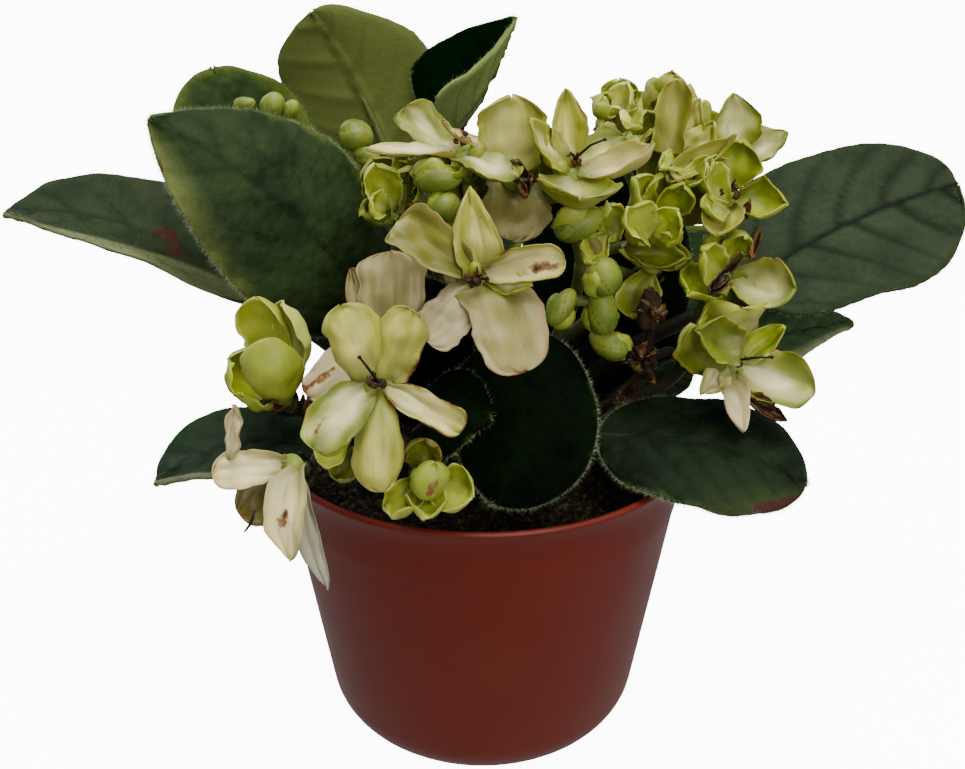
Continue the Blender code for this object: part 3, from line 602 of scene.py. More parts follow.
def leaf_parts(row, seed, wave, side_veins, vein_width, band, spots):
    """A leaf's blade and petiole as parts.

    The band is a side, how far out it starts at the base, the middle and the tip, and how wide its
    soft edge is; spots are places on the blade.
    """
    name, root, base, middle, tip, width, facing, fold, cup, widest, point = row
    base, middle, tip = (np.array(place, float) for place in (base, middle, tip))
    facing = np.array(facing, float)
    S, T = net(65, 45, 0.94)
    line, run = blade_line(base, middle, tip, T)
    side = unit(np.cross(run, facing))
    up = unit(np.cross(side, run))
    dice = Random(seed)
    size = abs(S)
    scallop = 1 + 0.008 * np.abs(np.sin(T * pi * 15 + S)) * np.clip(size * 2 - 1, 0, 1)
    lobes = 1 + 0.02 * np.sin(T * 7 + dice.uniform(0, 6) + S)
    left, right = TRIMS.get(name, ((1,) * 8, (1,) * 8))
    trim = np.where(S < 0, np.interp(T, TRIM_STOPS, left), np.interp(T, TRIM_STOPS, right))
    reach = width / 2 * leaf_outline(T, widest, point) * size * scallop * lobes * trim
    grid = spread(line, side, up, reach, S, np.radians(fold + cup * size))
    along = T - 0.36 * size ** 1.35 * leaf_outline(T, widest, point)
    phase = (along * side_veins + 0.35 * np.sign(S)) % 1
    to_vein = np.minimum(phase, 1 - phase) / side_veins * np.linalg.norm(tip - base)
    side_vein = np.exp(-(to_vein / vein_width) ** 2) * np.clip(1.05 - size, 0, 1) ** 0.5
    side_vein = side_vein * np.clip(T * 6, 0, 1)
    across = size * width / 2 * leaf_outline(T, widest, point)
    midrib = np.exp(-(across / 0.45) ** 2)
    vein = np.maximum(midrib, side_vein * 0.8)
    puff = 0.34 * np.clip(to_vein / 1.4, 0, 1) ** 0.8 * np.clip(1.1 - size, 0, 1)
    swing = np.sin(T * 11 + dice.uniform(0, 6) + 1.5 * S) + 0.5 * np.sin(T * 23 + dice.uniform(0, 6))
    ripple = wave * size ** 3 * swing
    crease = 0.35 * np.sin(T * 4 + dice.uniform(0, 6)) * size * (1 - size) * 4
    grid = grid + up * (puff - 0.3 * midrib * np.clip(1 - T, 0.2, 1) + ripple + crease)[..., None]
    edge = np.clip(np.minimum(1 - size, np.minimum(T, 1 - T) * 3.0) / 0.12, 0, 1) ** 0.5
    half = LEAF_THICKNESS / 2 * (0.25 + 0.75 * edge)
    rim = np.maximum(size, np.clip((T - 0.5) * 2, 0, 1) ** 2)
    in_band = np.clip((S * band[0] - np.interp(T, (0, 0.5, 1), band[1])) / band[2], 0, 1)
    spotted = np.zeros(T.shape)
    for spot_s, spot_t, spot_size in spots:
        away = ((S - spot_s) * width / 2) ** 2 + ((T - spot_t) * np.linalg.norm(tip - base)) ** 2
        spotted = np.maximum(spotted, np.exp(-away / spot_size ** 2))
    # Paler streaks between the veins, used as painted sheen on the blade's upper side.
    drift = noise_field(along * 7 + seed, S * 2.2, 3.7)
    field = np.clip(to_vein / 1.7, 0, 1) * np.clip(0.55 + 0.75 * drift, 0, 1) * np.clip(1.15 - vein, 0, 1)
    field = field * np.clip(0.1 + 1.7 * T, 0, 1)
    marks = {"vein": vein, "rim": rim, "band": in_band, "spot": spotted, "field": field}
    marks = {key: value[..., None] for key, value in marks.items()}
    blade = sheet(grid, half, half + 0.35 * midrib + 0.12 * side_vein, marks)
    blade[2]["hairy"] = np.where(blade[2]["under"] > 0.5, 0.2, 1.0)
    blade[2]["fringe"] = 1.0 * (blade[2]["rim"] > 0.985)
    leave = 2 * middle - (base + tip) / 2 - base
    leave = leave / np.linalg.norm(leave)
    length = np.linalg.norm(base - np.array((*root, SOIL_HEIGHT)))
    path = rooted(root, length * 0.4, base, leave * length * 0.3, 22)
    tail_line, tail_run = blade_line(base, middle, tip, np.linspace(0.06, 0.42, 8))
    tail_up = unit(np.cross(unit(np.cross(tail_run, facing)), tail_run))
    path = np.concatenate([path, tail_line - tail_up * np.linspace(0.1, 0.45, 8)[:, None]])
    radii = np.concatenate([np.full(19, PETIOLE_RADIUS), np.linspace(PETIOLE_RADIUS, 0.3, len(path) - 19)])
    petiole = stem(path, radii, {"hairy": [0.8]})
    return [(*blade, 0), (*petiole, 1)]


# How much narrower or wider a blade grew than its plain shape, along its two sides
TRIMS = {
    "leaf_back_upright": ((1, 1, 1, 1, 0.97, 0.82, 0.71, 0.68), (1, 1, 1, 1, 1, 1.02, 1.1, 1.26)),
    "leaf_back_folded": ((1, 1, 1, 1, 1.04, 1.12, 1.2, 1.2), (1, 1, 0.8, 0.6, 0.45, 0.34, 0.28, 0.22)),
    "leaf_left_rear": ((1, 1, 1, 0.98, 0.96, 0.95, 0.95, 0.94), (1, 1, 1, 1, 1, 0.96, 0.9, 0.82)),
    "leaf_left_flat": ((1, 1.02, 1.05, 1.1, 1.1, 1.1, 1.05, 1), (1, 1, 1, 0.96, 0.89, 0.85, 0.97, 0.78)),
    "leaf_left_low": ((1, 1, 1, 1, 0.9, 0.78, 0.67, 0.6), (1, 1, 1, 1, 1.06, 1.04, 1.1, 1.18)),
    "leaf_right_large": ((1, 1, 1, 1, 0.96, 0.88, 0.82, 0.74), (1, 0.86, 0.85, 0.91, 1, 1.04, 1.05, 1)),
    "leaf_right_small": ((1, 1, 1, 1, 1, 1, 1, 1), (1, 1, 1, 0.94, 0.85, 0.77, 0.71, 0.7)),
    "leaf_right_low": ((1, 1, 1, 1, 1, 1.03, 1.09, 1.08), (1, 1, 1, 0.95, 0.91, 0.94, 0.97, 1.03)),
}

leaf_group, given, place = skin_group(
    "velvety leaf", ("Upper", "Upper light", "Under", "Margin", "Vein", "Spot", "Band"),
    ("Margin width", "Vein strength"))
tree = leaf_group
cloud = speckle(tree, place, 120, 3, 0.55)
patch = speckle(tree, place, 420, 3, 0.6)
pile = speckle(tree, place, 3800, 3, 0.7)
patchy = sum_of(tree, "SUBTRACT", patch, 0.5)
veined = mark(tree, "vein")
upper = blend(tree, step_between(tree, cloud, 0.35, 0.7), given["Upper"], given["Upper light"])
upper = blend(tree, times(tree, step_between(tree, patch, 0.4, 0.7), 0.35), upper, given["Upper light"])
# Painted sheen: the upper side turns lighter along the streaks between the veins.
lit = sum_of(tree, "MULTIPLY", mark(tree, "field"), sum_of(tree, "MULTIPLY_ADD", patch, 0.9, 0.2),
             clamp=True)
upper = blend(tree, lit, upper, given["Upper light"])
near_rim = sum_of(tree, "MULTIPLY_ADD", patchy, 0.35, mark(tree, "rim"))
start = sum_of(tree, "SUBTRACT", 1.0, given["Margin width"])
upper = blend(tree, step_between(tree, near_rim, start, 1.02), upper, given["Margin"])
banded = sum_of(tree, "MULTIPLY", mark(tree, "band"), sum_of(tree, "MULTIPLY_ADD", cloud, 0.8, 0.45),
                clamp=True)
upper = blend(tree, banded, upper, given["Band"])
upper = blend(tree, times(tree, veined, given["Vein strength"]), upper, given["Vein"])
under = blend(tree, times(tree, cloud, 0.5), given["Under"], given["Margin"])
under = blend(tree, times(tree, veined, 0.4), under, given["Vein"])
underside = mark(tree, "under")
skin_tone = blend(tree, step_between(tree, underside, 0.3, 0.7), upper, under)
near_spot = sum_of(tree, "MULTIPLY_ADD", patchy, 1.2, mark(tree, "spot"))
skin_tone = blend(tree, step_between(tree, near_spot, 0.35, 0.7), skin_tone, given["Spot"])
# Painted sheen: fine specks of the upper side are lighter.
sheen = times(tree, step_between(tree, pile, 0.5, 0.75), 0.4)
skin_tone = blend(tree, sheen, skin_tone, given["Upper light"])
quilt = add_node(tree, "ShaderNodeTexVoronoi", {"Vector": place, "Scale": 700.0, "Smoothness": 0.6},
                 feature="SMOOTH_F1")
puffed = sum_of(tree, "MULTIPLY_ADD", quilt.outputs["Distance"], -2.2, times(tree, patch, 1.2))
smooth_side = sum_of(tree, "MULTIPLY_ADD", underside, -0.85, 1.0)
put_out(tree, skin_tone, sum_of(tree, "MULTIPLY_ADD", pile, 0.3, 0.42),
        sum_of(tree, "MULTIPLY_ADD", puffed, smooth_side, pile))


def leaf_skin(name, upper, light, under, margin, vein, margin_width, band=(0, 0, 0), vein_strength=0.45,
              spot=(82, 32, 24), gloss=0.08):
    """A leaf's material."""
    return skin_material(
        name, leaf_group,
        {"Upper": upper, "Upper light": light, "Under": under, "Margin": margin, "Vein": vein,
         "Spot": spot, "Band": band, "Margin width": margin_width, "Vein strength": vein_strength},
        gloss, bump=0.5, depth=0.00025)


stem_group, given, place = skin_group("fleshy stem", ("Flesh", "Flush", "Shade near soil"))
tree = stem_group
cloud = speckle(tree, place, 160, 3, 0.6)
fine = speckle(tree, place, 2400, 2, 0.6)
tone = blend(tree, step_between(tree, cloud, 0.5, 0.72), given["Flesh"], given["Flush"])
# Stems turn a dark colour towards the soil: painted shade low in the plant.
height = add_node(tree, "ShaderNodeSeparateXYZ", {0: place}).outputs["Z"]
put_out(tree, blend(tree, step_between(tree, height, 0.082, 0.055), tone, given["Shade near soil"]),
        sum_of(tree, "MULTIPLY_ADD", fine, 0.25, 0.4), fine)
# The low dark colour of each stalk is painted shade near the soil.
petiole_flesh = skin_material(
    "leaf stalk", stem_group,
    {"Flesh": (70, 78, 34), "Flush": (82, 58, 34), "Shade near soil": (26, 26, 12)}, gloss=0.2)


def hair_material(name, low, high):
    """The material of a fine leaf hair."""
    made = bpy.data.materials.new(name)
    made.use_nodes = True
    tree = made.node_tree
    place = add_node(tree, "ShaderNodeTexCoord").outputs["Object"]
    tone = blend(tree, speckle(tree, place, 700, 2), colour(*low), colour(*high))
    shader = tree.nodes["Principled BSDF"]
    tree.links.new(tone, shader.inputs["Base Color"])
    shader.inputs["Roughness"].default_value = 0.55
    shader.inputs["Specular IOR Level"].default_value = 0.1
    return made


short_hair = hair_material("short leaf hair", (20, 30, 13), (66, 76, 48))
# Dark hairs for the darkest leaves; on the shadowed leaves this darkness is painted shade.
dark_hair = hair_material("dark leaf hair", (8, 14, 5), (34, 42, 24))
fringe_hair = hair_material("pale fringe hair", (84, 92, 64), (162, 170, 140))

hair_tree, given = sowing_tree("short hairs", (
    ("Hairs per square metre", "Float"), ("Shortest", "Float"), ("Longest", "Float"),
    ("Root radius", "Float"), ("Lean", "Float"), ("Sowing", "Int"), ("Grows by", "String"),
    ("Hair", "Material")))
tree = hair_tree
sown = sown_over(tree, given, given["Grows by"], given["Hairs per square metre"], given["Sowing"])
spike = add_node(tree, "GeometryNodeMeshCone", {
    "Vertices": 3, "Side Segments": 1, "Radius Top": 0.0, "Radius Bottom": 1.0, "Depth": 1.0},
    fill_type="NONE")
backward = times(tree, given["Lean"], -1.0)
lean_low = add_node(tree, "ShaderNodeCombineXYZ", {0: backward, 1: backward, 2: 0.0})
lean_high = add_node(tree, "ShaderNodeCombineXYZ", {0: given["Lean"], 1: given["Lean"], 2: 6.3})
leaning = random_value(tree, lean_low.outputs[0], lean_high.outputs[0], 11)
tilted = add_node(tree, "FunctionNodeRotateRotation", {
    "Rotation": sown.outputs["Rotation"], "Rotate By": leaning}, rotation_space="LOCAL")
grown = random_value(tree, given["Shortest"], given["Longest"], 12, "FLOAT")
stature = add_node(tree, "ShaderNodeCombineXYZ", {
    0: given["Root radius"], 1: given["Root radius"], 2: grown})
stand_on(tree, given, sown.outputs["Points"], spike.outputs["Mesh"], tilted.outputs[0],
         stature.outputs[0], given["Hair"])


def with_hairs(piece, seed, per_square_mm, shortest=0.3, longest=0.7, radius=0.014, lean=0.7, fringe=0,
               coat=short_hair):
    """The piece with short hairs over it and a pale fringe along its margin, as one plain mesh."""
    coats = [("hairy", coat, per_square_mm, shortest, longest, radius, lean)]
    if fringe:
        coats.append(("fringe", fringe_hair, fringe, 0.35, 0.95, 0.016, 0.8))
    for number, (grows_by, hair, count, low, high, thick, tilt) in enumerate(coats):
        piece = grow(piece, hair_tree, {
            "Hairs per square metre": count * 1e6, "Shortest": low * MM, "Longest": high * MM,
            "Root radius": thick * MM, "Lean": tilt, "Sowing": seed + 200 * number,
            "Grows by": grows_by, "Hair": hair})
    return piece


# A near-black green for leaves inside the plant and under the front blooms: painted shade.
shadowed_leaf = leaf_skin("shadowed dark leaf", (4, 11, 3), (12, 23, 8), (70, 80, 38), (30, 46, 14),
                      (16, 29, 10), 0.06, gloss=0.02)
tall_leaf = leaf_skin("tall green leaf", (11, 26, 7), (42, 56, 29), (80, 88, 44), (72, 84, 36),
                      (16, 29, 10), 0.1, (96, 102, 54), 0.5, (88, 62, 30))
mid_leaf = leaf_skin("green leaf", (14, 29, 8), (30, 46, 15), (80, 88, 44), (80, 92, 30), (36, 52, 19), 0.3)
grey_leaf = leaf_skin("grey-green leaf", (35, 46, 29), (48, 59, 40), (80, 86, 52), (42, 54, 28),
                      (12, 22, 8), 0.1, (54, 62, 38), 1.0)
shade_leaf = leaf_skin("blue-green leaf", (24, 41, 21), (42, 58, 29), (74, 82, 38), (76, 90, 34),
                       (36, 52, 22), 0.45)
flat_leaf = leaf_skin("dusky leaf", (34, 45, 28), (48, 58, 39), (100, 104, 58), (50, 60, 32),
                      (28, 38, 20), 0.06, (108, 115, 78), 0.4, (62, 38, 28))
back_leaf = leaf_skin("olive underside leaf", (70, 80, 38), (94, 100, 54), (78, 86, 40), (96, 102, 54),
                      (44, 54, 20), 0.15, (80, 88, 34), 0.9)
fold_leaf = leaf_skin("folded leaf", (3, 17, 6), (6, 24, 9), (120, 134, 78), (62, 76, 32), (12, 26, 9),
                      0.05, (120, 134, 78), 0.3, gloss=0.0)
low_leaf = leaf_skin("low dark leaf", (7, 18, 4), (27, 40, 21), (78, 84, 42), (44, 58, 26), (13, 25, 8),
                     0.08, (48, 58, 30), 0.6, (58, 34, 30))
shelf_leaf = leaf_skin("low left leaf", (24, 36, 24), (34, 48, 32), (88, 94, 52), (40, 54, 30),
                       (18, 30, 16), 0.08, (100, 102, 80))
pale_edge_leaf = leaf_skin("small right leaf", (54, 74, 46), (66, 84, 56), (88, 94, 60), (72, 86, 52),
                           (30, 44, 24), 0.08, (110, 118, 84))

# Skin, waviness, side veins, their width, colour band as side, start and softness,
# spots as place across, place along and size
PLAIN = (0, (2, 2, 2), 1)
LEAF_LOOKS = {
    "leaf_back_upright": (back_leaf, 0.3, 4, 0.35, PLAIN, ()),
    "leaf_back_folded": (fold_leaf, 0.15, 5, 0.35, (1, (0, 0, 0), 0.12), ()),
    "leaf_left_rear": (shade_leaf, 0.3, 5, 0.4, PLAIN, ()),
    "leaf_left_tall": (tall_leaf, 0.5, 6, 0.6, (-1, (0.95, 0.8, 0.15), 0.7), ((-0.95, 0.9, 0.8),)),
    "leaf_left_flat": (flat_leaf, 0.35, 5, 0.6, (-1, (0.1, 0.58, 1.05), 0.1),
                       ((0.1, 0.38, 2.0), (-0.2, 0.34, 1.4))),
    "leaf_left_low": (shelf_leaf, 0.3, 5, 0.4, (-1, (0.6, 0.72, 0.8), 0.15), ()),
    "leaf_right_large": (grey_leaf, 0.3, 5, 0.85, PLAIN, ()),
    "leaf_right_small": (pale_edge_leaf, 0.25, 5, 0.4, (1, (0.6, 0.6, 0.6), 0.15), ()),
    "leaf_right_low": (low_leaf, 0.4, 6, 0.6, (1, (1.2, 0.9, 0.1), 0.5),
                       ((0.85, 0.93, 2.2), (0.9, 0.86, 1.4))),
    "leaf_front_right": (shadowed_leaf, 0.4, 6, 0.5, PLAIN, ()),
    "leaf_front_left": (shadowed_leaf, 0.3, 5, 0.4, PLAIN, ()),
    "leaf_middle": (shadowed_leaf, 0.3, 6, 0.5, PLAIN, ()),
    "leaf_inner": (shadowed_leaf, 0.25, 5, 0.5, PLAIN, ()),
    "leaf_young": (tall_leaf, 0.1, 4, 0.3, PLAIN, ()),
}
# Hairs to a square millimetre: along most margins, along the hairiest, on the blades and on sparser blades
FRINGE = 12.0
FRINGES = {"leaf_front_right": 36.0, "leaf_right_low": 44.0, "leaf_left_tall": 46.0}
BLADE_HAIRS = 5.5
SPARSE_HAIRS = 3.0
for number, row in enumerate(LEAVES):
    name = row[0]
    skin, *build = LEAF_LOOKS.get(name, (mid_leaf, 0.35, 6, 0.5, PLAIN, ()))
    piece = gather(name.replace("leaf_", "") + "_blade", leaf_parts(row, number + 1, *build),
                   [skin, petiole_flesh])
    dark = skin in (shadowed_leaf, fold_leaf)
    piece = with_hairs(piece, number + 3, SPARSE_HAIRS if dark or "rear" in name else BLADE_HAIRS,
                       fringe=FRINGES.get(name, FRINGE), coat=dark_hair if dark else short_hair)
    place_on(piece, name)


# The blooms
# Waxy rounded petals on a short tube, white in the middle with green edges, some still all green.
# The oldest are turning cream, grey and papery, with brown edges and creases.

TUBE_LENGTH = 2.2
CLEARANCE = 0.3
CALYX_LENGTH = 1.8
PETAL_THICKNESS = 0.5

# Name, centre of its mouth, the way it faces, petals. For each petal: base, tip, width, curl,
# cup in degrees, its kind, brown along its edge, brown in its middle, how ruffled its margin is,
# how deeply it is pleated, how far it is hollowed or, below 0, domed, its form,
# how much wider it has grown, and for an upturned petal the way it faces
BLOOMS = (
    ("bloom_left_green", (-26.2, -15.4, 57.6), (-0.4, -0.5, 0.75), (
        ((-26.8, -14.5, 58.1), (-28.7, -12.9, 70.1), 7, 0.2, 20,
         "green", 0, 0, 0.35, 0.05, 0.25, "square", 1.2),
        ((-25.6, -14.7, 58.3), (-24.7, -14.6, 70.1), 6, 0.3, 25,
         "bright", 0.1, 0, 0.4, 0.05, -0.15, "broad", 1.3),
        ((-26.7, -15.6, 57.8), (-32.2, -18.4, 63.6), 7.5, 0.2, 25,
         "lime", 0, 0, 0.35, 0.05, 0.25, "round", 1.1),
        ((-26, -16.1, 57.8), (-25.7, -21.4, 67.6), 8.5, 0.3, 25,
         "green", 0.05, 0, 0.2, 0.06, 0.4, "round", 1.08, (-0.2, 0.95, 0.3)),
        ((-26.9, -16, 57.3), (-30.7, -19.4, 58.6), 5.5, 0.15, 15,
         "green", 0.5, 0.35, 0.4, 0.05, 0.1, "round", 1.2),
    )),
    ("bloom_front_centre", (-12, -29, 64.5), (-0.05, -0.75, 0.65), (
        ((-12.5, -28.8, 65.3), (-16, -28, 74), 7, -0.1, -15, "pale", 0.1, 0, 0.3, 0.04, -0.35, "broad", 1.0),
        ((-11.5, -28.8, 65.4), (-8, -28, 73.5), 6, -0.05, -10,
         "pale", 0.95, 0.1, 0.35, 0.04, -0.25, "broad", 1.0),
        ((-13, -29, 64.5), (-18.5, -35, 59), 6.5, -0.1, 15,
         "edged", 0.1, 0.3, 0.35, 0.05, -0.2, "square", 1.1),
        ((-12, -29.7, 64.3), (-11.5, -36, 54.5), 6, -0.12, -15,
         "pale", 0.05, 0, 0.25, 0.05, -0.4, "round", 1.05),
        ((-11.2, -29.5, 64.6), (-2.5, -34, 61), 4.5, -0.1, 20,
         "white", 0.8, 0, 0.35, 0.05, 0.3, "square", 0.95),
    )),
    ("bloom_front_white", (-11, -20, 66), (0, -0.75, 0.65), (
        ((-11, -20, 66), (-11, -17, 77), 7.5, -0.1, 0, "pink", 0.15, 0, 0.35, 0.2, 0, "square", 1.1),
        ((-12.2, -20, 66), (-16, -17, 75), 4.5, 0, 10, "pink", 0.7, 0, 0.35, 0.12, 0.2, "pointed", 1.1),
        ((-12.1, -20, 65.6), (-21.5, -23, 61), 5.5, -0.1, 0,
         "blush", 0.5, 0.35, 0.35, 0.1, -0.2, "round", 1.1),
    )),
    ("bloom_front_small", (-7, -30, 53), (0, -0.8, 0.6), (
        ((-7.5, -30.4, 53.1), (-10.5, -36, 51), 4.5, 0.15, 25,
         "green", 0, 0, 0.25, 0.05, -0.2, "round", 1.15),
        ((-7, -30.7, 52.8), (-6.5, -36, 51.5), 4.5, 0.2, 25,
         "green", 0.2, 0.2, 0.25, 0.05, -0.2, "round", 1.2),
        ((-6.8, -30.9, 52.6), (-5.5, -36, 57.7), 4.4, 0.3, 30,
         "green", 0.3, 0.3, 0.25, 0.04, 0.5, "round", 1.4, (0, 1, 0.3)),
        ((-7, -29.8, 53.9), (-6.5, -32, 59.5), 4, 0.1, 20, "moss", 0.3, 0.2, 0.3, 0.05, 0.2, "round", 1.2),
        ((-6.2, -30.6, 52.9), (-1, -34, 52.5), 6, 0.15, 25, "green", 0, 0, 0.2, 0.04, 0.15, "round", 1.2),
    )),
    ("bloom_left_dried", (-23.5, -24, 51.5), (-0.3, -0.8, 0.5), (
        ((-24, -24, 52), (-33, -26, 51.5), 4, 0.05, 15,
         "bleached", 0.3, 0.1, 0.4, 0.15, -0.3, "square", 1.3),
        ((-31, -25, 53), (-30, -22, 59), 2, 0, 10, "blush", 0.3, 0.1, 0.4, 0.1, 0.5, "pointed", 1.1),
        ((-24.3, -24, 50.7), (-30.3, -25.7, 45.6), 6, 0.1, 10,
         "grey", 0.6, 0.4, 0.5, 0.15, 0.2, "round", 1.1),
        ((-22.6, -24.6, 51.8), (-23, -31, 42.5), 5.8, -0.15, 20,
         "bleached", 0.2, 0.55, 0.35, 0.08, -0.3, "pointed", 1.15),
        ((-22.8, -24.7, 50.8), (-19, -29.5, 38), 3.2, -0.12, 10,
         "ash", 0.1, 0, 0.3, 0.1, 0.1, "pointed", 1.1),
    )),
    ("bloom_centre_pale", (-0.5, -21, 74.5), (0, -0.85, 0.5), (
        ((-1.3, -21, 75.3), (-10, -20, 81.5), 6.5, -0.05, 15,
         "sage", 0.15, 0, 0.3, 0.06, 0.3, "wedge", 0.98),
        ((-0.1, -20.9, 75.5), (-1.5, -19, 85.5), 6.5, -0.05, 15,
         "pale", 0.05, 0, 0.3, 0.06, -0.35, "spear", 1.0),
        ((0.3, -21, 75.3), (9.5, -24, 78), 4.5, -0.05, 30,
         "white", 0.3, 0.55, 0.25, 0.06, -0.5, "square", 1.2),
        ((0.5, -21.5, 74.4), (5, -28, 66), 9.5, -0.1, 5,
         "pink", 0.25, 0.05, 0.4, 0.12, -0.15, "broad", 0.95),
        ((-1, -21.8, 73.9), (-6.5, -23, 68), 6.5, -0.05, 5,
         "blush", 0.15, 0.05, 0.35, 0.2, -0.1, "square", 1.0),
        ((0.4, -21.2, 74.9), (5, -25, 75.5), 3, 0.15, 25, "striped", 0, 0, 0.2, 0.04, -0.3, "round", 1.2),
    )),
    ("bloom_top_left", (-2.5, -7, 87), (-0.1, -0.3, 0.95), (
        ((-3, -7, 87.4), (-10, -2, 91.5), 5.5, 0.1, 15, "edged", 0.1, 0, 0.3, 0.06, 0.2, "square", 1.1),
        ((-3.3, -7.8, 87), (-14.4, -9, 88.1), 3.2, 0, 10,
         "white", 0.15, 0, 0.25, 0.08, -0.1, "pointed", 1.0),
        ((-2.5, -8.2, 86.7), (4, -15, 85), 4.5, -0.05, 10, "edged", 0.3, 0.2, 0.3, 0.06, 0.2, "broad", 1.2),
        ((-1.7, -6.2, 87), (0, -2, 88), 4, 0.1, 10, "white", 0.1, 0, 0.25, 0.06, 0.2, "round", 1.1),
    )),
    ("bloom_top_mid", (4, -8, 84), (0, -0.85, 0.5), (
        ((3.5, -7.9, 84.9), (3.6, -6, 93.7), 8.8, 0.12, 20, "pale", 0.1, 0, 0.5, 0.14, -0.55, "broad", 1.12),
        ((4, -8, 83), (3.5, -14, 77.5), 8, -0.05, 10, "grey", 0.3, 0.1, 0.3, 0.08, -0.1, "broad", 1.1),
    )),
    ("bloom_top_white", (11.5, -7, 84.5), (0.05, -0.5, 0.85), (
        ((11, -6.8, 85.1), (10.5, -4, 94.5), 5, 0.1, 25, "pale", 0.2, 0.15, 0.3, 0.06, 0.3, "pointed", 1.2),
        ((10.7, -7.4, 84.8), (6.2, -10, 91.7), 5.3, 0.1, 15,
         "striped", 0.1, 0, 0.3, 0.06, -0.2, "pointed", 1.2),
        ((12, -7.8, 84.5), (21.5, -11, 88.5), 5, 0.12, 20,
         "white", 0.15, 0.1, 0.25, 0.06, 0.2, "pointed", 1.15),
        ((11.2, -8.1, 84.2), (11.5, -17, 83.3), 11, 0.15, 15,
         "edged", 0.05, 0, 0.25, 0.06, 0.2, "square", 1.0),
        ((12.2, -6.3, 85.2), (18.5, -1, 87.5), 6, 0.1, 15, "edged", 0.05, 0, 0.25, 0.05, 0.25, "round", 1.1),
    )),
    ("bloom_back_left_green", (-11.5, -3, 78), (-0.2, -0.7, 0.7), (
        ((-12, -3, 78), (-14.5, -2, 85.5), 5.5, 0.15, 25, "moss", 0, 0, 0.5, 0.06, 0.2, "square", 1.2),
        ((-11.9, -3.7, 77.7), (-15.5, -7, 79), 4.5, 0.1, 25, "moss", 0, 0, 0.5, 0.06, 0.2, "square", 1.2),
        ((-10.9, -3.6, 78.1), (-8.6, -6, 85.2), 5.8, 0.25, 30, "green", 0, 0, 0.4, 0.06, 0.3, "square", 1.1),
        ((-10.9, -3.7, 78), (-8.5, -9, 80), 3, 0.1, 20, "moss", 0, 0, 0.5, 0.06, 0.2, "round", 1.2),
    )),
    ("bloom_back_small", (19, 6, 88), (0, -0.5, 0.85), (
        ((18.5, 6, 88.5), (15, 5, 92), 4.5, 0.2, 25, "green", 0, 0, 0.5, 0.06, -0.2, "square", 1.2),
        ((19, 7, 88.5), (18.5, 9, 94), 5, 0.15, 25, "lime", 0, 0, 0.5, 0.06, 0.2, "square", 1.2),
        ((19.5, 6, 88.5), (22, 8, 92.5), 4.5, 0.2, 25, "bright", 0, 0, 0.5, 0.06, -0.2, "round", 1.2),
        ((19.3, 4.9, 87.8), (20.5, -1, 87.6), 5.5, 0.2, 20, "bright", 0, 0, 0.4, 0.06, -0.2, "round", 1.2),
        ((18.5, 5.2, 88), (15.5, 1, 89), 4, 0.2, 20, "green", 0, 0, 0.5, 0.06, 0.1, "round", 1.2),
    )),
    ("bloom_back_tube", (25, 4, 87), (0, -0.2, 1), (
        ((24.1, 3.5, 87.3), (22.5, 3, 95), 4.5, 0.2, 30, "striped", 0, 0, 0.4, 0.06, 0.3, "square", 1.15),
        ((25, 5.2, 87.3), (25.5, 8, 95), 5.5, 0.15, 30, "green", 0.1, 0, 0.4, 0.06, 0.2, "round", 1.15),
        ((25.8, 4.1, 87.4), (27.5, 4, 94), 4.5, 0.2, 30, "green", 0, 0, 0.4, 0.06, 0.2, "round", 1.15),
        ((24.8, 2.9, 87.2), (23.8, 0.8, 93.2), 5.5, 0.15, 30, "white", 0, 0, 0.3, 0.08, 0.25, "round", 1.15),
    )),
    ("bloom_right_back", (35, 8, 83), (0.1, -0.4, 0.9), (
        ((35, 8, 83.5), (34.5, 9, 92), 6.5, 0.1, 20, "edged", 0.05, 0, 0.25, 0.05, 0.15, "pointed", 1.2),
        ((36.2, 8, 83), (42, 8, 87), 5.5, 0.1, 20, "edged", 0.05, 0, 0.25, 0.05, 0.2, "pointed", 1.25),
        ((34, 8, 83), (30.5, 10, 90), 4.5, 0.1, 10, "green", 0, 0, 0.4, 0.06, 0.2, "pointed", 1.2),
    )),
    ("bloom_right_mid_pale", (26.5, -2, 85.5), (0.2, -0.6, 0.8), (
        ((26, -2.9, 85.4), (30, -2, 90), 3.5, 0.05, 10, "pale", 0.05, 0, 0.25, 0.06, -0.2, "pointed", 1.2),
        ((25.5, -2, 86), (27.9, -1, 92.8), 3.5, 0.1, 10, "pale", 0.1, 0, 0.3, 0.06, -0.2, "pointed", 1.2),
        ((26.5, -2.9, 85.4), (22.5, -6, 85), 3.5, 0.05, 10,
         "green", 0.1, 0.1, 0.3, 0.06, 0.1, "pointed", 1.2),
        ((26.5, -3, 85), (25.5, -7, 83.5), 4, 0.1, 10, "pale", 0, 0, 0.25, 0.05, -0.1, "round", 1.2),
    )),
    ("bloom_right_cup", (32, -3, 80.5), (0.05, -0.75, 0.65), (
        ((31.4, -3.3, 80.8), (27.7, -7.2, 86.4), 5.3, 0.2, 25, "green", 0, 0, 0.4, 0.05, 0.3, "round", 1.2),
        ((32.4, -2.7, 81.4), (33.5, -3, 88.5), 6.5, 0.15, 20, "lime", 0, 0, 0.3, 0.05, 0.25, "pointed", 1.2),
        ((33, -3.6, 80.4), (39, -7, 80.5), 6, 0.15, 25, "lime", 0, 0, 0.3, 0.05, 0.3, "pointed", 1.2),
        ((32, -3.8, 79.7), (29.5, -10, 77.2), 5.5, 0.05, 25, "pale", 0, 0, 0.3, 0.06, 0.2, "round", 1.15),
    )),
    ("bloom_right_dry", (32, -5, 70.5), (0.1, -0.8, 0.6), (
        ((31.2, -5.7, 70.4), (26.5, -11, 70), 6, 0.2, 20, "lime", 0, 0, 0.3, 0.05, -0.2, "round", 1.2),
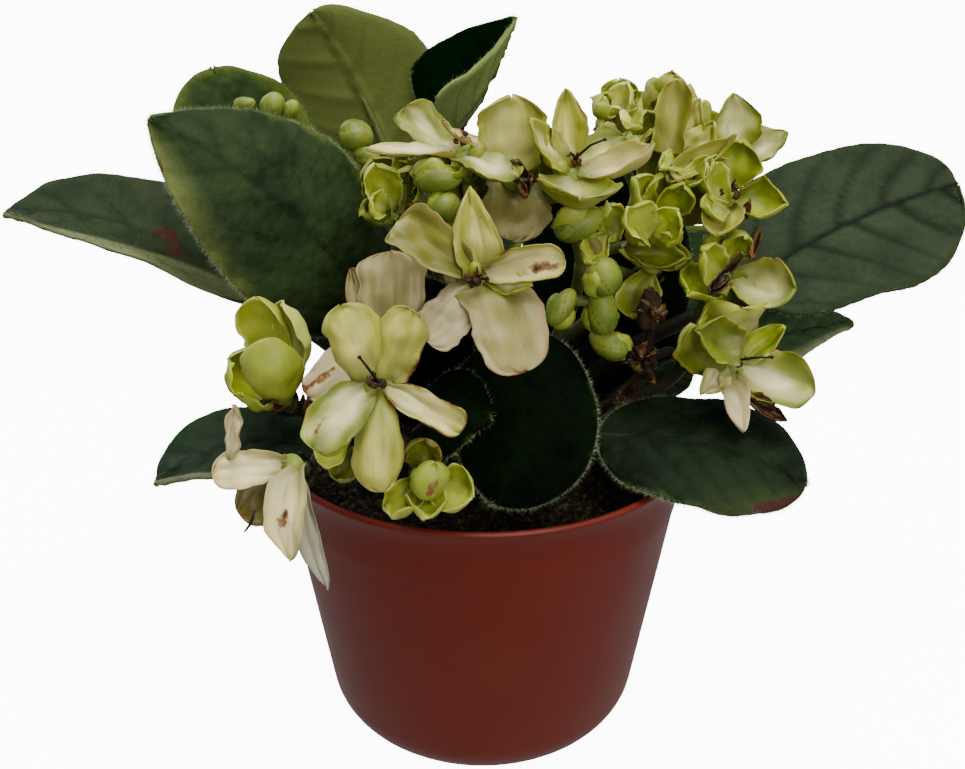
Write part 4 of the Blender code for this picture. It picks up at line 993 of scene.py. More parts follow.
        ((31.5, -4.9, 71.4), (29.4, -6.7, 77), 3.5, 0.15, 25,
         "green", 0.1, 0, 0.3, 0.05, -0.2, "round", 1.25),
        ((32.3, -4.8, 71.4), (34, -7.6, 77.4), 4, 0.2, 25, "green", 0.1, 0, 0.3, 0.05, 0.3, "round", 1.25),
        ((32.8, -5.7, 70.1), (40, -11, 70.5), 7, 0.15, 20,
         "edged", 0.15, 0.05, 0.25, 0.05, 0.2, "round", 1.15),
    )),
    ("bloom_right_low", (33, -10, 59.5), (0.1, -0.8, 0.6), (
        ((33.3, -9.8, 60.4), (33, -12.8, 68), 8.2, 0.1, -15,
         "striped", 0.1, 0.05, 0.3, 0.05, -0.4, "broad", 1.15),
        ((32.3, -10.2, 60.1), (27.5, -15, 66.5), 6.5, 0.15, -10, "moss", 0, 0, 0.3, 0.1, -0.4, "broad", 1.2),
        ((33.8, -9.9, 60.2), (39.5, -10, 65), 3.5, 0.1, 15, "lime", 0, 0, 0.3, 0.05, 0.3, "pointed", 1.15),
        ((33.8, -10.5, 59.3), (42.8, -15, 57.5), 8.5, 0.1, 20,
         "edged", 0.3, 0.05, 0.25, 0.05, 0.25, "round", 1.05),
        ((32, -10.6, 59.2), (33.5, -18, 53.5), 3.2, 0, 15,
         "blush", 0.3, 0.5, 0.3, 0.08, 0.3, "pointed", 1.2),
        ((32.1, -10.4, 59.4), (28.4, -15.5, 57.8), 4, 0, 10,
         "white", 0.2, 0.1, 0.3, 0.06, 0.1, "pointed", 1.0),
    )),
    ("bloom_mid_cup", (23, -4, 77), (0.15, -0.75, 0.65), (
        ((22.1, -4.4, 77.4), (19, -7, 84), 6, 0.2, 30, "green", 0, 0, 0.35, 0.06, -0.2, "round", 1.2),
        ((22.6, -3.8, 77.9), (23.5, -5, 84), 5, 0.2, 25, "green", 0, 0, 0.35, 0.06, -0.2, "round", 1.2),
        ((23.6, -4.2, 77.3), (25.3, -9, 83.4), 4.5, 0.2, 25, "lime", 0, 0, 0.3, 0.06, -0.1, "round", 1.2),
        ((22.4, -4.8, 76.8), (19, -12, 78.5), 4, 0.25, 25, "green", 0, 0, 0.35, 0.06, -0.2, "round", 1.25),
        ((23.2, -4.8, 76.6), (23.5, -12, 78), 4.5, 0.25, 25, "green", 0, 0, 0.35, 0.06, -0.2, "round", 1.25),
    )),
    ("bloom_mid_olive", (22.5, -5, 72), (0, -0.7, 0.7), (
        ((23, -5, 72.5), (27, -8, 73.5), 4, 0.1, 20, "moss", 0, 0, 0.3, 0.06, 0.1, "pointed", 1.25),
        ((22, -5, 72.5), (18, -8, 75), 4, 0.1, 20, "olive", 0, 0, 0.3, 0.06, 0.1, "pointed", 1.25),
        ((22, -5, 71), (20, -8, 65), 5, 0.1, 15, "green", 0, 0, 0.3, 0.06, 0.1, "round", 1.2),
    )),
)

# Petal kinds: the colours of its heart, its face, its rim and its back
PETAL_KINDS = {
    "green": ((160, 168, 62), (142, 152, 42), (190, 196, 96), (130, 140, 48)),
    "lime": ((166, 176, 50), (118, 134, 4), (186, 192, 84), (126, 138, 28)),
    "olive": ((94, 100, 22), (102, 108, 22), (150, 152, 60), (106, 110, 34)),
    "moss": ((112, 120, 34), (96, 106, 22), (140, 148, 54), (98, 108, 30)),
    "sage": ((126, 124, 50), (98, 98, 26), (156, 148, 84), (98, 98, 36)),
    "pale": ((192, 186, 100), (136, 138, 44), (166, 164, 76), (128, 128, 46)),
    "striped": ((226, 220, 150), (116, 126, 24), (156, 160, 60), (112, 118, 32)),
    "white": ((222, 213, 156), (186, 177, 108), (150, 152, 58), (152, 146, 78)),
    "edged": ((232, 226, 172), (178, 178, 88), (92, 108, 4), (122, 130, 32)),
    "cream": ((198, 184, 116), (184, 168, 98), (168, 142, 84), (152, 138, 76)),
    "bleached": ((230, 220, 160), (216, 204, 138), (192, 170, 114), (178, 166, 108)),
    "blush": ((184, 174, 126), (182, 168, 126), (168, 148, 108), (148, 134, 90)),
    "pink": ((126, 120, 54), (140, 130, 84), (138, 122, 82), (124, 112, 64)),
    "grey": ((108, 102, 48), (112, 104, 60), (106, 94, 50), (96, 88, 44)),
    "ash": ((170, 166, 140), (160, 156, 134), (142, 136, 112), (142, 136, 114)),
    # A lime green painted lighter for petals deep in the shade of their blooms: painted light.
    "bright": ((228, 232, 140), (204, 212, 96), (220, 224, 130), (176, 184, 84)),
    "dried": ((86, 58, 28), (68, 44, 20), (44, 30, 16), (56, 36, 18)),
    "charred": ((46, 34, 22), (34, 25, 16), (26, 18, 12), (30, 22, 14)),
}

# How far in from its margin each kind's rim colour reaches
RIM_WIDTHS = {"edged": 0.8, "striped": 0.5, "white": 0.35, "pale": 0.3, "lime": 0.1, "green": 0.1,
              "bright": 0.1, "moss": 0.12}

# Petal forms: where it is widest, how blunt its end is, how sharp the end's corners are, width of its foot
FORMS = {
    "round": (0.58, 2.8, 0.48, 0.42), "square": (0.64, 5.5, 0.45, 0.45), "pointed": (0.5, 1.7, 0.72, 0.42),
    "wedge": (0.82, 6.0, 0.6, 0.3), "spear": (0.34, 1.25, 0.85, 0.7), "broad": (0.5, 3.6, 0.46, 0.85),
}

# Smaller inner petals of the fuller blooms: kind, base, tip, width, form
INNER_PETALS = {
    "bloom_back_small": (("green", (17.5, 4, 89.5), (14.5, 2, 91.5), 4.5, "round"),
                         ("green", (18.5, 1, 90), (20.5, -1, 89.5), 4.5, "round"),
                         ("bright", (18.5, 6, 89.5), (19, 4, 94), 4.5, "round"),
                         ("bright", (16.6, 3, 86.2), (19, 1.6, 91.4), 6, "broad"),
                         ("green", (21.6, 3, 86.6), (21.6, 1.8, 91), 5, "square"),
                         ("moss", (22, 0, 82.4), (22.1, 0, 89), 4.8, "broad")),
    "bloom_back_tube": (("pale", (24, -3, 86), (24.6, -3.4, 95.6), 5.6, "broad"),
                        ("green", (24.5, 2.5, 90.5), (24.5, 0.5, 95.5), 5.5, "round"),
                        ("green", (28, 4, 86.5), (29.5, 2, 92), 4.5, "round")),
    "bloom_right_mid_pale": (("pale", (23.4, -5.6, 83.4), (32.2, -6.6, 89.4), 4.2, "spear"),
                             ("green", (24.2, -6, 82.4), (29.6, -7, 85.8), 3.8, "broad"),
                             ("moss", (24.2, -1, 80.6), (25.6, -0.6, 86), 5.5, "broad")),
    "bloom_right_cup": (("green", (31.5, -5, 79.5), (28, -7, 85.5), 5, "round"),
                        ("olive", (28.3, 0, 75.8), (27.6, 0, 83.4), 4.8, "broad"),
                        ("green", (31.5, -7, 79.5), (27.5, -9, 80.5), 4.5, "round")),
    "bloom_mid_cup": (("green", (21, -12, 77.5), (17.5, -14, 82), 6, "broad"),
                      ("lime", (22, -11, 77), (24, -13, 81), 5, "broad")),
    "bloom_mid_olive": (("moss", (18.5, -7, 74.5), (26.5, -9, 73.5), 5, "pointed"),),
    "bloom_right_dry": (("green", (32, -9, 69.5), (27, -11, 75.5), 6, "round"),),
    "bloom_right_low": (("moss", (33, -14, 63), (27, -16, 66.5), 7, "broad"),
                        ("moss", (33.6, -6, 65), (33.2, -6, 71.6), 6, "broad")),
    "bloom_centre_pale": (("pink", (-1.5, -18, 73.5), (-4.5, -20, 76), 4.5, "round"),),
    "bloom_back_left_green": (("green", (-11.5, -5, 79.5), (-13.5, -7, 85.5), 5.5, "square"),
                              ("moss", (-10.5, -3, 80), (-9, -5, 85.5), 5, "square"),
                              ("green", (-12.5, -7, 79.5), (-14.5, -9, 81.5), 5, "round")),
    "bloom_top_left": (("green", (-1.5, -8, 86.5), (-4, -10, 84.5), 3.5, "round"),
                       ("moss", (-2.6, -6, 86.6), (-9.6, -5, 85.6), 4.6, "broad")),
    "bloom_top_mid": (("moss", (-1.5, -4.2, 79.4), (-3.4, -4, 86.2), 6.2, "broad"),
                      ("olive", (8.6, -3.2, 79.4), (7.9, -3, 86.6), 5.4, "broad"),
                      ("olive", (5.7, -4, 80.6), (5.6, -4, 85.8), 4, "broad"),
                      ("olive", (0.5, -4, 80.6), (0.5, -4, 85.4), 4.5, "broad"),
                      ("olive", (-10.6, -4, 82.6), (-10.2, -4, 87), 3, "broad")),
    "bloom_front_centre": (("green", (-16.2, -26.6, 57), (-20, -28.4, 54.4), 5.2, "round"),
                           ("moss", (-15, -27, 55.5), (-17.2, -28.8, 51.6), 4.2, "round")),
}

# Shrivelled scraps that cling to a bloom: kind, base, tip, width
SCRAPS = {
    "bloom_right_low": (("dried", (34.1, -14.6, 56.9), (39.6, -15.6, 53.9), 2.6),
                        ("dried", (34.6, -14.2, 57.3), (37.8, -15.9, 55.8), 1.8)),
    "bloom_right_dry": (("charred", (32.9, -11.6, 75.4), (29.2, -12.2, 70.4), 1.9),
                        ("charred", (31.4, -12, 72.6), (28.6, -12.6, 70.2), 2.4),
                        ("dried", (36, -5.6, 77.2), (34.9, -7.4, 73), 1.7)),
    "bloom_top_mid": (("charred", (3.9, -12, 87.2), (5.6, -12.6, 83), 2.6),
                      ("charred", (3, -11.8, 86), (6.2, -12.4, 84.4), 2.2),
                      ("dried", (4.2, -12.6, 85), (5.4, -13, 82.6), 1.6)),
    "bloom_left_green": (("dried", (-28.2, -18.2, 57.6), (-24.9, -18.4, 56.8), 1.6),),
    "bloom_top_left": (("cream", (-5, -8.2, 91.2), (-0.6, -9.7, 88.4), 1.3),),
    "bloom_front_white": (("dried", (-19.6, -22.4, 59.8), (-21.6, -23, 60.6), 2.2),),
    "bloom_right_cup": (("dried", (34, -6, 78.2), (34.3, -6, 80.9), 1.2),),
}

# A blackened thread along its points, and seed vessels: low end, high end, width
THREADS = {"bloom_left_dried": (
    (-27.9, -27.5, 47.4), (-28.2, -27.7, 46.3), (-28.7, -27.7, 45.3), (-29.4, -27.5, 44.3))}
VESSELS = {
    "bloom_centre_pale": ((-0.9, -21.3, 75.2), (-0.9, -21.9, 77.2), 1.7),
    "bloom_top_left": ((-0.8, -8.4, 86.6), (-0.5, -9.4, 88.6), 2.2),
    "bloom_top_white": ((9.9, -7.6, 84.4), (9.6, -8.4, 86.2), 2.1),
}


def pigment(*tone):
    """A colour as a mark on a mesh."""
    return np.array(colour(*tone)[:3])


def plain_marks(tone, number):
    """The marks of a part of the flower in one colour."""
    return {"tint": pigment(*tone), "brown": [0.0], "number": [number]}


def petal_outline(t, form, lopsided):
    """The half-width of a petal along it, as a share of its greatest."""
    widest, blunt, corner, foot = FORMS[form]
    widest = widest + lopsided
    near = np.maximum(foot, (1 - np.clip(1 - t / widest, 0, 1) ** 2.2) ** 0.55)
    away = np.clip((t - widest) / (1 - widest), 0, 1)
    return np.where(t < widest, near, np.maximum(0.05, (1 - away ** blunt) ** corner))


def petal_part(facing, row, dice, rows=27, columns=23):
    """One waxy petal, bowed, hollowed or domed, creased, ruffled and tinted, with painted shade in its
    crease and at its throat.
    """
    base, tip, width, curl, cup = row[:5]
    kind, edge_brown, middle_brown, ruffle, pleat, dome, form, grown, *upturned = row[5:]
    base, tip = np.array(base, float), np.array(tip, float)
    inner = np.array(upturned[0] if upturned else facing, float)
    run = tip - base
    length = np.linalg.norm(run)
    inner = unit(inner - run * np.dot(inner, run) / length ** 2)
    middle = (base + tip) / 2 - inner * curl * length
    S, T = net(rows, columns, 0.9, 0.12)
    line, along = blade_line(base, middle, tip, T)
    level = unit(np.cross(tip - base, inner))
    up = unit(np.cross(level, along))
    twist = (dice.uniform(-0.35, 0.35) * T ** 2)[..., None]
    side = level * np.cos(twist) + up * np.sin(twist)
    up = unit(np.cross(side, along))
    size = abs(S)
    a, b, c = (dice.uniform(0, 20) for _ in range(3))
    notch = 1 + 0.12 * noise_field(T * 3 + a, np.sign(S) + b)
    notch = notch + 0.06 * noise_field(T * 9 + a, np.sign(S) + c) * size
    shape = petal_outline(T, form, dice.uniform(-0.1, 0.1) * np.sign(S))
    reach = width * grown / 2 * shape * size * notch
    grid = spread(line, side, up, reach, S, np.radians(cup * size * (1 + 0.5 * size)))
    near_edge = np.maximum(size, np.clip((T - 0.5) / 0.5, 0, 1) ** 1.6)
    wave = 1.3 * noise_field(T * 4 + a, S * 1.5 + c, 2.1)
    wave = wave + 0.7 * noise_field(T * 9 + b, S * 3 + a, 4.4)
    pleats = np.sin(S * width * 2.6 + c) * np.clip(T * 1.2, 0, 1)
    bowl = dome * width / 4.5 * (near_edge ** 1.25 - 0.5) * np.clip(T * 2.5, 0, 1)
    dent = 0.42 * noise_field(T * 2.6 + b, S * 1.4 + a, 1.2)
    dent = dent + 0.18 * noise_field(T * 6 + b, S * 3 + a, 3.3)
    fold_at = dice.uniform(-0.45, 0.45) + 0.16 * noise_field(T * 2 + c, T * 0 + a)
    fold = np.exp(-((S - fold_at) / 0.09) ** 2) * np.clip(np.sin(pi * T * 1.15), 0, 1)
    fold = fold * dice.uniform(0.3, 1)
    keel = np.exp(-(S / 0.32) ** 2) * np.clip(1.1 - T, 0, 1)
    rise = ruffle * near_edge ** 3 * wave + pleat * pleats + bowl + dent - 0.16 * fold - 0.15 * keel
    tip_curl = np.clip((T - 0.7) / 0.3, 0, 1) ** 2 * dice.uniform(-0.5, 0.9)
    grid = grid + up * (rise + tip_curl)[..., None]
    edge = np.clip(np.minimum(1 - size, (1 - T) * 2.5) / 0.3, 0, 1) ** 0.7
    half = PETAL_THICKNESS / 2 * (0.14 + 0.66 * edge)
    heart, face, rim, back = (pigment(*tone) for tone in PETAL_KINDS[kind])
    streaks = noise_field(T * 1.4 + a, S * 3.5 + b, 5.1)
    clouds = noise_field(T * 2.2 + c, S * 1.6 + b, 8.4)
    stripe = np.clip(0.75 + 0.35 * streaks + 0.5 * clouds - size ** 1.5, 0, 1) * np.clip(1.35 - T, 0, 1)
    tint = face + (heart - face) * stripe[..., None]
    width_of_rim = RIM_WIDTHS.get(kind, 0.25)
    rim_share = np.clip((near_edge - 1 + width_of_rim) / width_of_rim, 0, 1) ** 0.55
    rim_share = rim_share * np.clip(0.85 + 0.6 * noise_field(T * 3 + c, S * 2, 6.2), 0, 1)
    tint = tint + (rim - tint) * rim_share[..., None]
    # Greener and darker towards the throat: partly the petal's own green base, partly painted shade.
    foot = np.clip(1 - T / 0.42 + 0.25 * streaks, 0, 1)[..., None]
    tint = tint + (pigment(86, 92, 26) - tint) * foot * 0.75
    # Random tone, with painted shade along the crease.
    shade = 1 + 0.2 * noise_field(T * 4 + b, S * 2 + a) - 0.3 * fold
    tint = tint * dice.uniform(0.84, 1.08) * shade[..., None]
    blotch = np.exp(-((T - 0.76) / 0.26) ** 2 - ((S - dice.uniform(-0.3, 0.3)) / 0.3) ** 2)
    singed = np.clip((near_edge - 0.7) / 0.3, 0, 1) ** 2
    brown = edge_brown * 0.8 * singed + middle_brown * 0.9 * blotch
    marks = {
        "tint": tint, "brown": brown[..., None], "across": (S * width / 6)[..., None],
        "along": (T * length / 6)[..., None], "number": [dice.uniform(0, 50)],
    }
    part = sheet(grid, half, half, marks)
    under = part[2]["under"]
    part[2]["tint"] = part[2]["tint"] * (1 - under * 0.6) + back * under * 0.6
    return (*part, 0)


def ball(start, end, width, marks=None, rows=12, sides=18, folds=0.05, lumps=0.0, seed=0.0):
    """A closed egg with seams that wind round it, as a part without a material."""
    start, end = np.array(start, float), np.array(end, float)
    axis = end - start
    length = np.linalg.norm(axis)
    axis = axis / length
    first = unit(np.cross(axis, (0.21, 0.9, 0.38)))
    second = np.cross(axis, first)
    points, seams = [start], [0.0]
    for i in range(1, rows):
        height = 0.5 - 0.5 * cos(pi * i / rows)
        wide = width / 2 * sin(pi * i / rows) ** 0.85 * (1.08 - 0.2 * height)
        for j in range(sides):
            turn = 2 * pi * j / sides
            seam = (1 - abs(sin(1.5 * turn + 2.6 * height + seed))) ** 3
            swell = 1 - folds * seam * 2 + folds * 0.5 * sin(turn + 4 * height + seed)
            point = start + axis * length * height + wide * swell * (cos(turn) * first + sin(turn) * second)
            if lumps:
                bump = noise.noise(Vector(point * 0.9) + Vector((seed, 0, 0)))
                point = point + unit(point - (start + end) / 2) * lumps * bump
            points.append(point)
            seams.append(seam)
    points.append(end)
    seams.append(0.5)
    faces = [(0, 1 + (j + 1) % sides, 1 + j) for j in range(sides)]
    for i in range(rows - 2):
        for j in range(sides):
            a, b = 1 + i * sides + j, 1 + i * sides + (j + 1) % sides
            faces.append((a, b, b + sides, a + sides))
    last = 1 + (rows - 2) * sides
    faces += [(last + j, last + (j + 1) % sides, len(points) - 1) for j in range(sides)]
    kept = {"along": np.clip(((np.array(points) - start) @ axis) / length, 0, 1)[:, None],
            "seam": np.array(seams)[:, None]}
    for key, value in (marks or {}).items():
        kept[key] = np.broadcast_to(np.array(value, float), (len(points), np.size(value)))
    return np.array(points), faces, kept


petal_group, given, place = skin_group("waxy petal", ("Dried", "Charred", "Vein"))
tree = petal_group
across, along, number = (mark(tree, key) for key in ("across", "along", "number"))
flat = add_node(tree, "ShaderNodeCombineXYZ", {
    0: times(tree, across, 9.0), 1: times(tree, along, 0.9), 2: number}).outputs[0]
streak = speckle(tree, flat, 1.6, 2, 0.6)
mottle = speckle(tree, place, 520, 4, 0.6)
blotch = speckle(tree, place, 260, 4, 0.65)
fine = speckle(tree, place, 2600, 2)
tone = mark(tree, "tint", "Color")
streaky = times(tree, step_between(tree, streak, 0.5, 0.72), 0.22)
mottled = times(tree, step_between(tree, mottle, 0.5, 0.75), 0.2)
for share in (streaky, mottled):
    tone = blend(tree, share, tone, given["Vein"], "MULTIPLY")
browned = mark(tree, "brown")
dry = sum_of(tree, "MULTIPLY_ADD", sum_of(tree, "SUBTRACT", blotch, 0.5), 3.0, browned)
dry = times(tree, dry, step_between(tree, browned, 0.02, 0.2))
tone = blend(tree, step_between(tree, dry, 0.3, 0.6), tone, given["Dried"])
tone = blend(tree, step_between(tree, dry, 0.5, 0.85), tone, given["Charred"])
speck = step_between(tree, speckle(tree, place, 1500, 2), 0.73, 0.78)
tone = blend(tree, times(tree, speck, 0.6), tone, given["Charred"])
put_out(tree, tone, sum_of(tree, "MULTIPLY_ADD", fine, 0.2, 0.34),
        sum_of(tree, "MULTIPLY_ADD", streak, 0.8, times(tree, mottle, 0.5)))
petal_wax = skin_material(
    "waxy petal", petal_group,
    {"Dried": (122, 84, 44), "Charred": (52, 32, 16), "Vein": (186, 186, 130)},
    gloss=0.3, glow=0.2, bump=0.35, depth=0.00015)

for number, (name, centre, facing, petals) in enumerate(BLOOMS):
    dice = Random(number + 40)
    facing = unit(np.array(facing, float))
    centre = np.array(centre, float)
    foot = centre - facing * TUBE_LENGTH
    throat = np.stack([foot, foot + facing * 1.2, centre - facing * 0.2, centre + facing * 0.5])
    parts = [(*stem(throat, (0.85, 1.1, 1.5, 1.65), plain_marks((128, 142, 56), 3.0), 16), 0)]
    for row in petals:
        parts.append(petal_part(facing, row, dice))
    for kind, low, high, width, form in INNER_PETALS.get(name, ()):
        row = (low, high, width, 0.12, 22, kind, 0, 0, 0.3, 0.05, 0.25, form, 1)
        parts.append(petal_part(facing, row, dice, 21, 17))
    for kind, low, high, width in SCRAPS.get(name, ()):
        blotched = 0.8 if kind == "dried" else 0.1
        row = (low, high, width, 0.1, 30, kind, 0.8, blotched, 0.5, 0.25, 0.6, "pointed", 1)
        parts.append(petal_part(facing, row, dice, 17, 13))
    if name in THREADS:
        thread = stem(THREADS[name], (0.16, 0.2, 0.2, 0.12), plain_marks((22, 18, 16), 5.0), 8)
        parts.append((*thread, 0))
    if name in VESSELS:
        parts.append((*ball(*VESSELS[name], plain_marks((128, 136, 44), 1.0)), 0))
    piece = gather(name.replace("bloom_", "flower_"), parts, [petal_wax])
    place_on(piece, name)


# The flower stalks
# Slim fleshy stalks that fork into curved pedicels, each ending in a calyx of five narrow sepals.
# They are pale green with a brownish flush and carry sparse short hairs.

STALK_RADIUS = 1.1
PEDICEL_RADIUS = 0.7

# Name, where it is rooted, where it forks, the blooms it carries, its own buds
STALKS = (
    ("stalk_left", (-8, -4), (-20, -11, 52), ("bloom_left_green", "bloom_left_dried"), ()),
    ("stalk_front", (-8.5, -10.5), (-13, -20, 57), (
        "bloom_front_centre", "bloom_front_white", "bloom_front_small"), ()),
    ("stalk_centre", (-1, -5), (0, -9, 72), ("bloom_centre_pale", "bloom_top_left", "bloom_top_mid"), ()),
    ("stalk_back_left", (-4, 5), (-9, 4, 72), ("bloom_back_left_green",), (
        ((-34, 8, 90.5), (-31, 8, 91), 2),
        ((-30, 8, 89), (-27.5, 8, 92), 3.4),
        ((-27.5, 9, 88.5), (-25.5, 9, 91), 2.4),
        ((-19.5, 6, 87.5), (-15, 6, 86), 4.6),
        ((-17.5, 5.5, 85), (-14, 4, 83.5), 3),
    )),
    ("stalk_middle", (4, -4), (13, -5, 72), ("bloom_top_white", "bloom_mid_cup", "bloom_mid_olive"), ()),
    ("stalk_right", (11.5, 0), (28, -3, 58), ("bloom_right_dry", "bloom_right_low"), ()),
    ("stalk_right_back", (4, 7), (24, 4, 74), (
        "bloom_back_small", "bloom_back_tube", "bloom_right_back", "bloom_right_mid_pale",
        "bloom_right_cup"), ()),
)


def sepals(heel, mouth, facing, number, dice):
    """A calyx: five narrow pointed sepals that clasp the foot of the tube."""
    first = unit(np.cross(facing, (0.3, 0.5, 0.8)))
    second = np.cross(facing, first)
    parts = []
    for i in range(5):
        turn = 2 * pi * i / 5 + number
        out_way = cos(turn) * first + sin(turn) * second
        base = heel + facing * 0.3 + out_way * 0.55
        tip = mouth + facing * dice.uniform(0.2, 1.0) + out_way * dice.uniform(1.9, 2.5)
        middle = (base + tip) / 2 + out_way * 0.35
        S, T = np.meshgrid(np.linspace(-1, 1, 7), np.linspace(0, 1, 10))
        line, along = blade_line(base, middle, tip, T)
        side = unit(np.cross(along, -out_way))
        up = unit(np.cross(side, along))
        half_width = 0.62 * np.maximum(0.12, np.sin(pi * (0.18 + 0.8 * T)) ** 0.8)
        grid = line + side * (half_width * S)[..., None] + up * (0.16 * S ** 2)[..., None]
        half = np.full(S.shape, 0.16)
        parts.append((*sheet(grid, half, half, {"hairy": [2.0]}), 0))
    return parts


green_stalk = skin_material(
    "flower stalk", stem_group,
    {"Flesh": (104, 116, 44), "Flush": (108, 76, 42), "Shade near soil": (40, 38, 18)}, gloss=0.25, glow=0.08)
bud_group, given, place = skin_group("tight bud", ("Side", "Tip", "Seam"))
tree = bud_group
cloud = speckle(tree, place, 420, 3, 0.6)
fine = speckle(tree, place, 2600, 2)
seam = mark(tree, "seam")
tone = blend(tree, step_between(tree, mark(tree, "along"), 0.3, 1.0), given["Side"], given["Tip"])
for mask, low, high, share, key in ((cloud, 0.45, 0.7, 0.35, "Tip"), (seam, 0.1, 0.35, 0.4, "Tip"),
                                    (seam, 0.5, 0.9, 0.8, "Seam")):
    tone = blend(tree, times(tree, step_between(tree, mask, low, high), share), tone, given[key])
put_out(tree, tone, sum_of(tree, "MULTIPLY_ADD", fine, 0.2, 0.36), sum_of(tree, "ADD", cloud, fine))
bud_skin = skin_material(
    "green bud", bud_group, {"Side": (82, 96, 28), "Tip": (126, 136, 50), "Seam": (62, 74, 20)},
    gloss=0.3, glow=0.15, bump=0.25)

for number, (name, root, fork, carried, eggs) in enumerate(STALKS):
    dice = Random(number + 90)
    fork = np.array(fork, float)
    length = np.linalg.norm(fork - np.array((*root, SOIL_HEIGHT)))
    trunk = rooted(root, length * 0.4, fork, (0, 0, length * 0.3), 24)
    parts = [(*stem(trunk, np.linspace(STALK_RADIUS, 0.85, len(trunk)), {"hairy": [1.0]}, 14), 0)]
    start = fork - (0, 0, 1)
    for other, centre, facing, petals in BLOOMS:
        if other in carried:
            facing = unit(np.array(facing, float))
            mouth = np.array(centre, float) - facing * (TUBE_LENGTH + CLEARANCE)
            heel = mouth - facing * CALYX_LENGTH
            span = np.linalg.norm(heel - fork)
            path = bend(start, (0, 0, span * 0.3), heel + facing * 0.6, facing * span * 0.3, 18)
            parts.append((*stem(path, np.full(len(path), PEDICEL_RADIUS), {"hairy": [1.0]}, 10), 0))
            cup = np.stack([heel, heel + facing * 0.5, mouth - facing * 0.4, mouth])
            parts.append((*stem(cup, (0.7, 1.05, 1.2, 1.1), {"hairy": [1.0]}, 12), 0))
            parts += sepals(heel, mouth, facing, number, dice)
    for low, high, width in eggs:
        end = np.array(low) * 0.6 + np.array(high) * 0.4
        span = np.linalg.norm(end - fork)
        path = bend(start, (0, 0, span * 0.4), end, (0, 0, span * 0.2), 16)
        parts.append((*stem(path, np.linspace(0.65, 0.5, len(path)), {"hairy": [1.0]}, 10), 0))
        parts.append((*ball(low, high, width, {"hairy": [0.6]}, 20, 30, 0.1, seed=width), 1))
    piece = gather("flower_" + name, parts, [green_stalk, bud_skin])
    piece = with_hairs(piece, number + 60, 2.0, 0.4, 0.9, 0.02, 0.5)
    place_on(piece, name)


# The bud clusters
# Tight round buds with overlapping petal tips, on short pedicels.
# The clusters have a few loose petals that are already half open.

# Name, buds: lower end, upper end, width; half-open petals; pedicels: points and radius
BUDS = (
    ("buds_middle", (
        ((9, -12, 78), (15, -12, 80.5), 4.4), ((15, -14, 70.5), (15, -14, 75.5), 5),
        ((15.5, -13, 65), (15, -13, 71), 4.2), ((18.5, -13, 62), (14, -12, 65), 3.8),
        ((8.5, -14, 66.5), (11.5, -13, 71), 3),
    ), (
        ((16.5, -11, 76.5), (15.5, -12, 82), 4, 0.25, 20),
        ((15.5, -12, 78), (12.5, -14.5, 75), 3.5, 0.2, 20),
    ), (
        (((12, -11, 79), (14.5, -12, 76), (15, -12, 70), (15.5, -11.5, 64)), 0.9),
        (((15, -12, 69), (11, -13, 69.5)), 0.7),
    )),
    ("buds_back_left", (
        ((-8.5, -9, 84), (-2.5, -9, 84.5), 3.8), ((-6.5, -10, 79.5), (-3, -10, 82), 3.8),
    ), (
        ((-4.5, -8, 79), (-2.5, -9, 75.5), 3, 0.1, 10),
    ), (
        (((-4.5, -8, 84), (-5, -8, 80.5), (-5.5, -6.5, 77)), 0.8),
    )),
)


def smooth_line(points):
    """A line through the points with its corners rounded."""
    points = np.array(points, float)
    for _ in range(3):
        if len(points) > 2:
            inner = np.repeat(points, 2, axis=0)
            inner = inner[:-1] * 0.75 + inner[1:] * 0.25
            points = np.concatenate([points[:1], inner[1:-1], points[-1:]])
    return points


for number, (name, eggs, petals, stems) in enumerate(BUDS):
    dice = Random(number + 120)
    parts = []
    for low, high, width in eggs:
        parts.append((*ball(low, high, width, {"hairy": [0.5]}, 20, 30, 0.035, seed=width * 3), 1))
        low, high = np.array(low, float), np.array(high, float)
        way = unit(high - low)
        for i in range(2):
            turn = 2 * pi * i / 3 + width
            first = unit(np.cross(way, (0.2, 0.9, 0.3)))
            aside = cos(turn) * first + sin(turn) * np.cross(way, first)
            heel = low + way * 0.2 + aside * width * 0.18
            lip = low + (high - low) * (0.6 + 0.2 * i) + aside * width * 0.34
            shell = (heel, lip, width * 1.05, 0.3, 42, "green", 0, 0, 0.2, 0.05, 0.35, "round", 1)
            parts.append((*petal_part(-aside, shell, dice, 15, 13)[:3], 2))
    for points, radius in stems:
        line = smooth_line(points)
        parts.append((*stem(line, np.full(len(line), radius), {"hairy": [1.0]}, 12), 0))
    for row in petals:
        row = (*row, "green", 0, 0, 0.35, 0.05, 0.3, "round", 1.2)
        parts.append((*petal_part((0, -0.8, 0.6), row, dice)[:3], 2))
    piece = gather("cluster_" + name, parts, [green_stalk, bud_skin, petal_wax])
    piece = with_hairs(piece, number + 75, 1.5, 0.3, 0.7, 0.02, 0.5)
    place_on(piece, name)


# The stamens and styles
# Shrunken brown anthers on a tangle of dry filaments in each open throat.
# Three of the flowers also hold out a thin blackened style.

